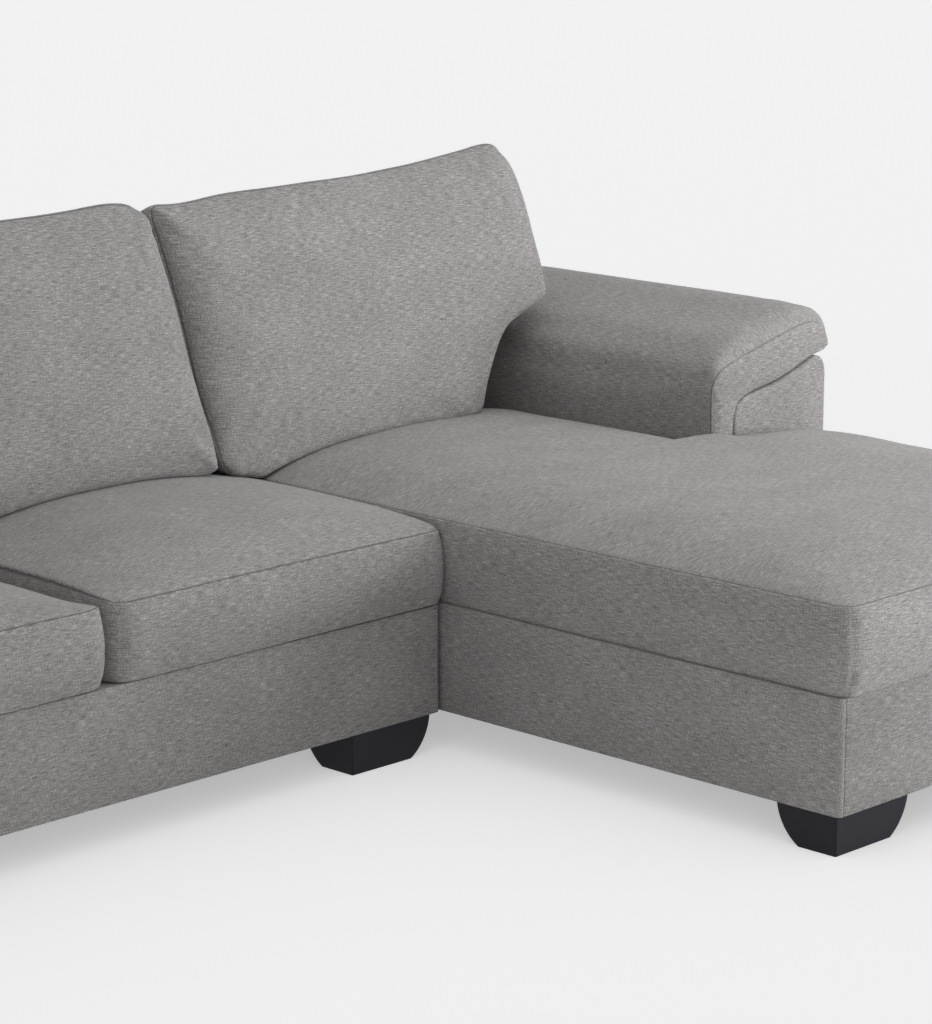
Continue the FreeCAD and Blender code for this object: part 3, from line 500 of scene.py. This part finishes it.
# Back cushions: fibre-filled pillows that stand on the seat and lean on the back. The right one rises
# to an ear that laps over the arm. Their fronts wrap round softly above and tightly where they stand.
BACK_FOOT, BACK_SLOPE, DECK = 610.0, 125.0 / 518.0, 262.0
ROUNDING, FOOT_ROUNDING = 62.0, 16.0
LOW_DEPTH, DEPTH_LOSS, BELLY = 228.0, 43.0, 26.0
PILLOW_CROWN, REAR_FALL = 12.0, 78.0


def back_plane(z):
    """How far back the leaning front of the back is at a level."""
    return BACK_FOOT + BACK_SLOPE * (z - DECK)


def outline_distance(x, z, outline):
    """The distance of each point to a closed outline."""
    best = np.full(len(x), 1e9)
    for (ax, az), (bx, bz) in zip(outline, outline[1:] + outline[:1]):
        dx, dz = bx - ax, bz - az
        share = np.clip(((x - ax) * dx + (z - az) * dz) / (dx * dx + dz * dz), 0, 1)
        best = np.minimum(best, np.hypot(x - ax - share * dx, z - az - share * dz))
    return best


def pillow_shape(low_x, high_x, low_level, top_level, corner):
    """The places of a pillow's points, between a lower and an upper edge given at x.

    Its front wraps round to a seam, and a border runs from there to the back, falling away on top.
    """

    def shape(lattice):
        u, v, w = lattice.T
        across = crowd(u) * (high_x - low_x) / 2
        x = (low_x + high_x) / 2 + across
        height = top_level(x) - low_level(x)
        up = crowd(w) * height / 2
        rounded_x, rounded_up = round_corners(across, up, (high_x - low_x) / 2, height / 2, corner)
        x_new = (low_x + high_x) / 2 + rounded_x
        z = low_level(x) + height / 2 + rounded_up
        line = np.linspace(low_x, high_x, 60)
        edge = list(zip(line, low_level(line))) + list(zip(line[::-1], top_level(line[::-1])))
        near = outline_distance(x_new, z, edge)
        front = v < -END
        rim = (np.abs(u) > END) | (np.abs(w) > END)
        share = np.clip((z - 430.0) / 480.0, 0.0, 1.0)
        depth = LOW_DEPTH - DEPTH_LOSS * share + BELLY * 4 * share * (1 - share)
        above = np.clip((z - low_level(x_new)) / 170.0, 0.0, 1.0)
        rounding = FOOT_ROUNDING + (ROUNDING - FOOT_ROUNDING) * (3 * above**2 - 2 * above**3)
        full = np.sqrt(1 - (1 - np.clip(near / rounding, 0.0, 1.0)) ** 2)
        rear_y = back_plane(z) - 5.0
        seam_y = rear_y - depth + rounding
        crown = np.where(above < 1, 0.0, PILLOW_CROWN) * (swell(near, 260.0, 1.0) - 1.0)
        y = np.where(front & ~rim, seam_y - (rounding + crown) * full, seam_y)
        behind = (v + 1) / 2
        y = np.where(~front, seam_y + (rear_y - seam_y) * behind, y)
        fall = np.where(~front, REAR_FALL * behind**1.4 * np.clip((w + 0.2) / 1.2, 0, 1), 0.0)
        return np.stack([x_new, y, z - fall], axis=1)

    return shape


def pick(piece, kind, chosen):
    """Goes into edit mode with the chosen points, edges or faces selected."""
    bpy.ops.object.mode_set(mode="EDIT")
    bpy.ops.mesh.select_mode(type=kind)
    bpy.ops.mesh.select_all(action="DESELECT")
    bpy.ops.object.mode_set(mode="OBJECT")
    mesh = piece.data
    for item in {"VERT": mesh.vertices, "EDGE": mesh.edges, "FACE": mesh.polygons}[kind]:
        item.select = chosen(item)
    bpy.ops.object.mode_set(mode="EDIT")


def ease_front(piece, lattice, times):
    """Smooths the front panel's points among themselves."""
    bpy.ops.object.select_all(action="DESELECT")
    piece.select_set(True)
    bpy.context.view_layer.objects.active = piece
    inside = (lattice[:, 1] < -END) & (np.abs(lattice[:, [0, 2]]) < END).all(axis=1)
    pick(piece, "VERT", lambda point: inside[point.index])
    bpy.ops.mesh.vertices_smooth(factor=0.5, repeat=times)
    bpy.ops.object.mode_set(mode="OBJECT")


def pillow_seams(lattice):
    """The points on the seams between a pillow's front, border and rear."""
    rim = (np.abs(lattice[:, 0]) > END) | (np.abs(lattice[:, 2]) > END)
    return rim & (np.abs(lattice[:, 1]) > END)


def through(*spots):
    """A smooth line through the given spots."""
    xs, zs = np.array(spots, dtype=float).T
    slopes = np.gradient(zs, xs)

    def level(x):
        x = np.clip(x, xs[0], xs[-1])
        i = np.clip(np.searchsorted(xs, x) - 1, 0, len(xs) - 2)
        span = xs[i + 1] - xs[i]
        t = (x - xs[i]) / span
        near = (2 * t**3 - 3 * t**2 + 1) * zs[i] + (t**3 - 2 * t**2 + t) * span * slopes[i]
        far = (3 * t**2 - 2 * t**3) * zs[i + 1] + (t**3 - t**2) * span * slopes[i + 1]
        return near + far

    return level


CONTACT_Y, CONTACT_GAP = 437.0, 3.0
BETWEEN_SEATS = 370.0


def seat_contact(x):
    """The level at which a back cushion stands on the seat below it."""
    y = np.full(np.shape(x), CONTACT_Y)
    left, middle = (
        seat_height(np.clip(x, low_x, high_x), y, low_x, high_x, held)
        for low_x, high_x, held in SEATS.values()
    )
    chaise = chaise_height(np.clip(x, CHAISE_LEFT, CHAISE_INNER), y, CHAISE_INNER)
    right = np.where(x < BETWEEN_SEATS, middle, chaise)
    return np.where(x < -BETWEEN_SEATS, left, right) + CONTACT_GAP


plain_backs = (
    ("left", -1107.0, -423.0, through((-1107, 900), (-900, 908), (-640, 912), (-423, 900))),
    ("middle", -417.0, 267.0, through((-417, 900), (-200, 904), (94, 908), (200, 911), (267, 902))),
)
for label, low_x, high_x, top in plain_backs:
    shape = pillow_shape(low_x, high_x, seat_contact, top, 42.0)
    cushion, lattice = cut_block(f"back_cushion_{label}_linen", 41, shape)
    seams = pillow_seams(lattice)
    ease_front(cushion, lattice, 6)
    plump(cushion, seams | (lattice[:, 1] > END), 8.0)
    stitch(cushion, seams, 2.4)
    rumple(cushion, 2.2, 150.0)
    lay_cloth(cushion, lattice)
    finish_cloth(cushion, f"back_{label}", f"back_cushion_{label}")

eared_top = through(
    (273, 904), (330, 899), (457, 903), (683, 906), (866, 910), (1029, 922), (1080, 930), (1115, 935),
    (1138, 928), (1157, 892), (1168, 836),
)
BESIDE_ARM = 925.0
over_arm = through(
    (BESIDE_ARM, 0), (952, 14), (962, 60), (972, 100), (992, 130), (1032, 156), (1104, 178), (1168, 202),
)


def eared_low(x):
    """The lower edge of the right back cushion: on the seat, then up the arm and over it."""
    foot = seat_contact(np.full(np.shape(x), BESIDE_ARM))
    return np.where(x < BESIDE_ARM, seat_contact(x), foot + over_arm(x))


EARED_LEFT, EARED_RIGHT = 273.0, 1168.0
EAR_FROM, EAR_FOOT, EAR_HEIGHT, EAR_LEAN = 1000.0, 680.0, 230.0, 56.0


def eared_shape(lattice):
    """The places of the right back cushion's points. Its ear leans outwards as it rises over the arm."""
    points = pillow_shape(EARED_LEFT, EARED_RIGHT, eared_low, eared_top, 30.0)(lattice)
    beside = np.clip((points[:, 0] - EAR_FROM) / (EARED_RIGHT - EAR_FROM), 0.0, 1.0)
    risen = np.clip((points[:, 2] - EAR_FOOT) / EAR_HEIGHT, 0, 1)
    points[:, 0] += EAR_LEAN * risen * beside**2 * (3 - 2 * beside)
    return points


cushion, lattice = cut_block("back_cushion_right_linen", 55, eared_shape)
seams = pillow_seams(lattice)
ease_front(cushion, lattice, 12)
plump(cushion, seams | (lattice[:, 1] > END), 8.0)
stitch(cushion, seams, 2.4)
rumple(cushion, 2.4, 160.0)
lay_cloth(cushion, lattice)
finish_cloth(cushion, "back_right", "back_cushion_right")


# Arms: each has an upholstered panel and an overstuffed pad that stands on its inner side, laps over
# its top and ends in a rounded lip outside it. A seam follows the pad's front rim.
ARM_INNER, ARM_FRONT, ARM_BACK = 1110.0, 8.0, 885.0
RIM, FLAT, CREASE, CAP_BOW = 24.0, 5.0, 7.0, 5.0
pad_skin = (
    (0, 0), (0, 150), (0, 245), (2, 283), (13, 313), (40, 334), (88, 352), (150, 367), (215, 382),
    (262, 391), (298, 392), (328, 381), (347, 360), (353, 336), (349, 318),
)
pad_lining = (
    (64, 0), (64, 120), (64, 185), (66, 208), (74, 229), (92, 243), (130, 252), (186, 261), (228, 272),
    (262, 284), (284, 292), (300, 297), (315, 299), (328, 302), (339, 308),
)


def along_line(spots, share):
    """Points at shares of the number of spots of a smooth line."""
    spots = np.array(spots, dtype=float)
    steps = np.arange(len(spots))
    place = share * (len(spots) - 1)
    return [through(*zip(steps, spots[:, i]))(place) for i in (0, 1)]


def rounded_edge(distance, radius):
    """How far a face has fallen away at a distance from its rounded edge."""
    return radius - np.sqrt(radius**2 - (radius - np.clip(distance, 0.0, radius)) ** 2)


def pad_shape(side):
    """The places of an arm pad's points, between its outer skin and the lining on the panel."""

    def shape(lattice):
        u, v, w = lattice.T
        share = (w + 1) / 2
        skin = np.array(along_line(pad_skin, share))
        lining = np.array(along_line(pad_lining, share))
        thick = np.hypot(*(lining - skin))
        across = (crowd(u * side) + 1) / 2
        # In front the skin turns over a round rim. The seam lies on the rim's corner beside the seat,
        # and well inside the front face on top.
        rim = np.minimum(RIM, 0.4 * thick)
        on_top = np.clip((share - 0.2) / 0.2, 0.0, 1.0)
        flat = np.minimum(FLAT, 0.1 * thick)
        start = (flat + rim * math.pi / 4) * (1 - on_top)
        length = ARM_BACK - ARM_FRONT
        run = start + (crowd(v) + 1) / 2 * length
        turn = np.clip((run - flat) / rim, 0.0, math.pi / 2)
        skin_in = rim * (1 - np.sin(turn)) + np.maximum(flat - run, 0.0)
        beyond = np.maximum(run - flat - rim * math.pi / 2, 0.0)
        stretch = (length - rim) / (start + length - flat - rim * math.pi / 2)
        skin_y = rim * (1 - np.cos(turn)) + beyond * stretch
        inward = skin_in * (1 - across) + thick * across
        y = skin_y * (1 - across) + (crowd(v) + 1) / 2 * length * across
        cap = v < -END
        y = np.where(cap, rounded_edge(inward, rim) - CAP_BOW * np.sin(across * math.pi), y)
        crease = rounded_edge(thick - inward, CREASE)
        y = np.maximum(y, np.where(cap | (across > END), crease, 0.0))
        # The lining's points stay a little apart where the crease would lay them on one spot
        y = y + np.where((across > END) & ~cap, (crowd(v) + 1) / 2 * 0.1, 0.0)
        x, height = skin + (lining - skin) * inward / thick
        return np.stack([side * (ARM_INNER + x), ARM_FRONT + np.minimum(y, length), DECK + height], axis=1)

    return shape


PANEL_IN, PANEL_OUT, PANEL_CORNER = 66.0, 339.0, 40.0
PANEL_GAP = 2.0
panel_top = through(
    (64, 207), (74, 229), (92, 243), (130, 252), (186, 261), (228, 272), (262, 284), (300, 297), (339, 303),
)


def panel_shape(side):
    """The places of an arm panel's points. Its front edge is rounded where it meets the pad."""

    def shape(lattice):
        u, v, w = lattice.T
        middle, half = (PANEL_OUT + PANEL_IN) / 2, (PANEL_OUT - PANEL_IN) / 2
        across = crowd(u * side) * half
        height = panel_top(middle + across) - PANEL_GAP
        up = crowd(w) * height / 2
        rounded = round_corners(across, up, half, height / 2, PANEL_CORNER)
        upper = (across > 0) & (up > 0)
        x = middle + np.where(upper, rounded[0], across)
        z = height / 2 + np.where(upper, rounded[1], up)
        line = np.linspace(PANEL_IN, PANEL_OUT - PANEL_CORNER, 30)
        turn = np.linspace(math.pi / 2, 0, 9)
        below = panel_top(PANEL_OUT) - PANEL_GAP - PANEL_CORNER
        corner = zip(PANEL_OUT - PANEL_CORNER * (1 - np.cos(turn)), below + PANEL_CORNER * np.sin(turn))
        upper_line = zip(line, panel_top(line) - PANEL_GAP)
        edge = [(PANEL_IN, -300.0), *upper_line, *corner, (PANEL_OUT, -300.0)]
        front = ARM_FRONT + rounded_edge(outline_distance(x, z, edge), CREASE)
        y = front + (crowd(v) + 1) / 2 * (ARM_BACK - front)
        return np.stack([side * (ARM_INNER + x), y, DECK + z], axis=1)

    return shape


for label, side, body in (("left", -1, "sofa_unit"), ("right", 1, "chaise_unit")):
    pad, lattice = cut_block(f"{label}_arm_pad_linen", 43, pad_shape(side))
    skin = lattice[:, 0] * side < -END
    cap = lattice[:, 1] < -END
    hidden = lattice[:, 0] * side > END
    seams = (skin | hidden) & cap
    plump(pad, seams | hidden | (lattice[:, 1] > END) | (lattice[:, 2] < -END), 5.0)
    stitch(pad, seams, 2.4)
    rumple(pad, 1.4, 140.0)
    share = (lattice[:, 2] + 1) / 2
    steps = np.linspace(0, 1, 200)
    line_x, line_z = along_line(pad_skin, steps)
    lengths = np.concatenate([[0], np.cumsum(np.hypot(np.diff(line_x), np.diff(line_z)))])
    run = (crowd(lattice[:, 1]) + 1) / 2 * (ARM_BACK - ARM_FRONT)
    lay_cloth(pad, lattice, np.interp(share, steps, lengths) * MM, run * MM)
    finish_cloth(pad, body, f"{label}_arm_pad")

    panel, lattice = cut_block(f"{label}_arm_panel_linen", 31, panel_shape(side))
    rumple(panel, 0.5, 150.0)
    lay_cloth(panel, lattice)
    finish_cloth(panel, body, f"{label}_arm_panel")


# Backs: one padded back on each unit, straight behind and leaning in front, rounded over the top rail.
# Seams run down the rear corners and along the top edge behind.
BACK_REAR, BACK_HALF = 885.0, 259.0
SIDE_ROUND, TOP_ROUND, EDGE_ROUND = 16.0, 22.0, 9.0


def back_shape(low_x, high_x):
    """The places of a back cover's points: corners rounded as seen from the front, the side and above."""

    def shape(lattice):
        u, v, w = lattice.T
        half = (high_x - low_x) / 2
        x = crowd(u) * half
        up = crowd(w) * BACK_HALF
        x_new, up_new = round_corners(x, up, half, BACK_HALF, SIDE_ROUND)
        upper = up > 0
        x_new = np.where(upper, x_new, x)
        z = DECK + BACK_HALF + np.where(upper, up_new, up)
        near = back_plane(z)
        middle, half_depth = (near + BACK_REAR) / 2, (BACK_REAR - near) / 2
        along = crowd(v) * half_depth
        along_new, up_again = round_corners(along, z - DECK - BACK_HALF, half_depth, BACK_HALF, TOP_ROUND)
        z = np.where(upper, DECK + BACK_HALF + up_again, z)
        y = middle + np.where(upper, along_new, along)
        flat_x, flat_y = round_corners(x_new, y - middle, half, half_depth, EDGE_ROUND)
        return np.stack([(low_x + high_x) / 2 + flat_x, middle + flat_y, z], axis=1)

    return shape


for label, low_x, high_x in (("sofa", -1109.0, 367.0), ("chaise", 373.0, 1109.0)):
    cover, lattice = cut_block(f"{label}_back_linen", 45, back_shape(low_x, high_x))
    rear = lattice[:, 1] > END
    seams = rear & ((np.abs(lattice[:, 0]) > END) | (lattice[:, 2] > END))
    stitch(cover, seams, 1.8)
    rumple(cover, 1.0, 170.0)
    lay_cloth(cover, lattice)
    finish_cloth(cover, f"{label}_unit", f"{label}_back_cover")


# Base covers: linen drawn tight over the base frames, turned in over the deck's edge and under the
# lower edge. A seam runs down the front face beside the chaise's left corner.
BASE_FOOT, BASE_TOP = 70.0, 262.3
TURN, CORNER, THICK, HEM = 60.0, 11.0, 5.0, 4.0
SEAM_WIDTH, SEAM_DEPTH = 3.0, 2.5


def cut_across(place, normal):
    """Cuts the mesh in edit mode by a plane through a place in mm."""
    bpy.ops.mesh.select_all(action="SELECT")
    bpy.ops.mesh.bisect(plane_co=[at * MM for at in place], plane_no=normal)


def base_cover(name, low, high, seam_x):
    """A cover between two corners in mm, open below and in the middle on top, with a seam at seam_x."""
    bpy.ops.object.select_all(action="DESELECT")
    size = [(b - a) * MM for a, b in zip(low, high)]
    centre = [(a + b) / 2 * MM for a, b in zip(low, high)]
    bpy.ops.mesh.primitive_cube_add(size=1.0, location=centre, scale=size)
    cover = bpy.context.object
    cover.name = cover.data.name = name
    bpy.ops.object.transform_apply(location=True, rotation=True, scale=True)

    def upright(edge):
        a, b = (cover.data.vertices[i].co for i in edge.vertices)
        return abs(a.z - b.z) > 0.01

    pick(cover, "FACE", lambda face: face.normal.z > 0.9)
    bpy.ops.mesh.inset(thickness=TURN * MM)
    bpy.ops.mesh.delete(type="FACE")
    pick(cover, "FACE", lambda face: face.normal.z < -0.9)
    bpy.ops.mesh.delete(type="FACE")
    pick(cover, "EDGE", upright)
    bpy.ops.mesh.bevel(offset=CORNER * MM, segments=6, affect="EDGES")
    for level in (26, 96, 166):
        cut_across((0, 0, low[2] + level), (0, 0, 1))
    if seam_x is not None:
        for offset in (-SEAM_WIDTH, 0.0, SEAM_WIDTH):
            cut_across((seam_x + offset, 0, 0), (1, 0, 0))
    bpy.ops.object.mode_set(mode="OBJECT")
    # The seam's points go back into a groove and are marked, so that the linen paints shade along it.
    seam = cover.data.attributes.new("seam", "FLOAT", "POINT")
    if seam_x is not None:
        for index, vertex in enumerate(cover.data.vertices):
            if abs(vertex.co.x - seam_x * MM) < 1e-5 and vertex.co.y < (low[1] + 50) * MM:
                vertex.co.y += SEAM_DEPTH * MM
                seam.data[index].value = 1.0
    sharp = {"limit_method": "ANGLE", "angle_limit": math.radians(50)}
    for kind, settings in (
        ("SOLIDIFY", {"thickness": THICK * MM, "offset": -1.0, "use_even_offset": True}),
        ("BEVEL", {"width": HEM * MM, "segments": 3, **sharp}),
    ):
        change = cover.modifiers.new(kind.title(), kind)
        for key, value in settings.items():
            setattr(change, key, value)
        bpy.ops.object.modifier_apply(modifier=change.name)
    bpy.ops.object.shade_smooth_by_angle(angle=math.radians(40))
    mesh = cover.data
    layer = cloth_layer(mesh)
    for face in mesh.polygons:
        for loop in face.loop_indices:
            x, y, z = mesh.vertices[mesh.loops[loop].vertex_index].co
            if abs(face.normal.z) > 0.7:
                layer.data[loop].uv = (x, y)
            elif abs(face.normal.x) > abs(face.normal.y):
                layer.data[loop].uv = (y, z)
            else:
                layer.data[loop].uv = (x, z)
    mesh.materials.clear()
    mesh.materials.append(linen)
    return cover


bases = (
    ("sofa", (-1430.0, -15.0), (367.0, BACK_REAR), None),
    ("chaise", (373.0, -885.0), (1430.0, BACK_REAR), 387.0),
)
for label, low, high, seam_x in bases:
    cover = base_cover(f"{label}_base_linen", (*low, BASE_FOOT), (*high, BASE_TOP), seam_x)
    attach(cover, f"{label}_unit")
    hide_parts(f"{label}_base_cover")


# Feet: hardwood blocks with bowed faces, lacquered black. Half-matt lacquer shows them as a soft dark
# gleam with the room's pale floor in their faces.
def give(finish, *names):
    """Puts a finish on CAD nodes that stay as they are."""
    for name in names:
        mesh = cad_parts[name].data
        mesh.materials.clear()
        mesh.materials.append(finish)


black_lacquer, tree = new_material("half_matt_black_lacquer")
place = add(tree, "ShaderNodeTexCoord")
pores = add(tree, "ShaderNodeMapping", {"Vector": (place, "Object"), "Scale": (120.0, 900.0, 900.0)})
grain = add(tree, "ShaderNodeTexNoise", {"Vector": (pores, "Vector"), "Scale": 1.0, "Detail": 3.0})
tint = add(tree, "ShaderNodeValToRGB", {"Fac": (grain, "Fac")})
set_stops(tint, (0.3, "#0e0e17"), (0.75, "#171724"))
smear = add(tree, "ShaderNodeMapRange", {"Value": (grain, "Fac"), "To Min": 0.3, "To Max": 0.42})
film = add(tree, "ShaderNodeBump", {"Height": (grain, "Fac"), "Strength": 0.05, "Distance": 0.0003})
lacquer = add(
    tree,
    "ShaderNodeBsdfPrincipled",
    {
        "Base Color": (tint, "Color"),
        "Roughness": (smear, "Result"),
        "Specular IOR Level": 0.28,
        "Normal": (film, "Normal"),
    },
)
add(tree, "ShaderNodeOutputMaterial", {"Surface": (lacquer, "BSDF")})
for unit in ("sofa", "chaise"):
    for end in ("front", "rear"):
        give(black_lacquer, f"{unit}_foot_{end}_left", f"{unit}_foot_{end}_right")


# Frames: sawn and planed pine rails, posts, blocks and arm boards, glued and screwed. Pine gives the
# eye warm growth rings along each board and a dry surface.
def sawn_timber(name, pale, dark, ring, stretch):
    """Softwood or plywood with its grain along one direction of the board."""
    material, tree = new_material(name)
    place = add(tree, "ShaderNodeTexCoord")
    scale = tuple(1000.0 / (ring * length) for length in stretch)
    board = add(tree, "ShaderNodeMapping", {"Vector": (place, "Object"), "Scale": scale})
    warp = add(tree, "ShaderNodeTexNoise", {"Vector": (board, "Vector"), "Scale": 0.6, "Detail": 4.0})
    fibre = add(tree, "ShaderNodeTexNoise", {"Vector": (board, "Vector"), "Scale": 6.0, "Detail": 2.0})
    rings = add(tree, "ShaderNodeMath", {0: (warp, "Fac"), 1: 9.0}, operation="MULTIPLY")
    saw = add(tree, "ShaderNodeMath", {0: (rings, "Value"), 1: 1.0}, operation="PINGPONG")
    sums = {0: (fibre, "Fac"), 1: 0.5, 2: (saw, "Value")}
    both = add(tree, "ShaderNodeMath", sums, operation="MULTIPLY_ADD")
    tone = add(tree, "ShaderNodeValToRGB", {"Fac": (both, "Value")})
    set_stops(tone, (0.2, pale), (1.0, dark))
    sawn = add(tree, "ShaderNodeBump", {"Height": (both, "Value"), "Strength": 0.2, "Distance": 0.0005})
    wood = add(
        tree,
        "ShaderNodeBsdfPrincipled",
        {"Base Color": (tone, "Color"), "Roughness": 0.75, "Normal": (sawn, "Normal")},
    )
    add(tree, "ShaderNodeOutputMaterial", {"Surface": (wood, "BSDF")})
    return material


pine_across = sawn_timber("planed_pine_across", "#d9bd8c", "#b98f58", 14.0, (20.0, 1.0, 1.0))
pine_along = sawn_timber("planed_pine_along", "#d9bd8c", "#b98f58", 14.0, (1.0, 20.0, 1.0))
pine_upright = sawn_timber("planed_pine_upright", "#d6b985", "#b58b55", 14.0, (1.0, 1.0, 20.0))
birch_ply = sawn_timber("birch_plywood", "#d8c19a", "#c2a273", 22.0, (1.0, 16.0, 1.0))
for unit in ("sofa", "chaise"):
    give(pine_across, f"{unit}_front_rail", f"{unit}_rear_rail")
    give(pine_across, f"{unit}_back_top_rail", f"{unit}_cross_rails")
    give(pine_along, f"{unit}_left_rail", f"{unit}_right_rail")
    give(pine_upright, f"{unit}_back_posts", f"{unit}_corner_blocks")
    give(birch_ply, f"{unit}_deck_board")
give(pine_along, "left_arm_frame", "right_arm_frame")


# Webbing and dust cover: elastic straps woven from rubber and polyester carry the back cushions, and a
# black spun cloth is stapled under each base.
def coarse_cloth(name, dark, pale, thread, sheen):
    """A woven, spun or foamed stuff with threads or cells of one size in mm."""
    material, tree = new_material(name)
    place = add(tree, "ShaderNodeTexCoord")
    laid = add(tree, "ShaderNodeMapping", {"Vector": (place, "Object"), "Scale": [1000.0 / thread] * 3})
    fibres = add(tree, "ShaderNodeTexNoise", {"Vector": (laid, "Vector"), "Scale": 1.0, "Detail": 3.0})
    cells = add(tree, "ShaderNodeTexVoronoi", {"Vector": (laid, "Vector"), "Scale": 0.8})
    mixed = add(tree, "ShaderNodeMath", {0: (fibres, "Fac"), 1: (cells, "Distance")}, operation="ADD")
    tone = add(tree, "ShaderNodeValToRGB", {"Fac": (mixed, "Value")})
    set_stops(tone, (0.4, dark), (1.0, pale))
    relief = add(tree, "ShaderNodeBump", {"Height": (mixed, "Value"), "Strength": 0.4, "Distance": 0.0005})
    weave = add(
        tree,
        "ShaderNodeBsdfPrincipled",
        {
            "Base Color": (tone, "Color"),
            "Roughness": 0.9,
            "Sheen Weight": sheen,
            "Normal": (relief, "Normal"),
        },
    )
    add(tree, "ShaderNodeOutputMaterial", {"Surface": (weave, "BSDF")})
    return material


webbing = coarse_cloth("elastic_webbing", "#3a3328", "#7d6d52", 3.0, 0.1)
spunbond = coarse_cloth("black_spunbond_cloth", "#101010", "#262626", 2.0, 0.2)
give(webbing, "sofa_back_straps", "chaise_back_straps")
give(spunbond, "sofa_dust_cover", "chaise_dust_cover")


# Fillings: cut polyurethane foam in the seats and white polyester fibre in the back cushions. Foam
# shows small open cells, fibre a soft felted surface.
foam_finish = coarse_cloth("cut_polyurethane_foam", "#cdbf86", "#ece0ad", 1.5, 0.0)
fibre_finish = coarse_cloth("white_polyester_fibre", "#d2d2cf", "#f2f2ef", 6.0, 0.3)
give(foam_finish, "seat_foam_left", "seat_foam_middle", "chaise_foam")
give(fibre_finish, "back_fill_left", "back_fill_middle", "back_fill_right")


# Fittings: pressed and zinc-plated steel keepers and tongues join the two units, and plated bolts hold
# the feet. Zinc gives a cool, slightly clouded metal.
zinc, tree = new_material("zinc_plated_steel")
place = add(tree, "ShaderNodeTexCoord")
patches = add(tree, "ShaderNodeTexNoise", {"Vector": (place, "Object"), "Scale": 90.0, "Detail": 3.0})
tone = add(tree, "ShaderNodeValToRGB", {"Fac": (patches, "Fac")})
set_stops(tone, (0.3, "#9da2a6"), (0.7, "#c3c7ca"))
cloudy = add(tree, "ShaderNodeMapRange", {"Value": (patches, "Fac"), "To Min": 0.28, "To Max": 0.5})
plate = add(
    tree,
    "ShaderNodeBsdfPrincipled",
    {"Base Color": (tone, "Color"), "Metallic": 1.0, "Roughness": (cloudy, "Result")},
)
add(tree, "ShaderNodeOutputMaterial", {"Surface": (plate, "BSDF")})
give(zinc, "sofa_connector_keepers", "chaise_connector_tongues", "sofa_foot_bolts", "chaise_foot_bolts")
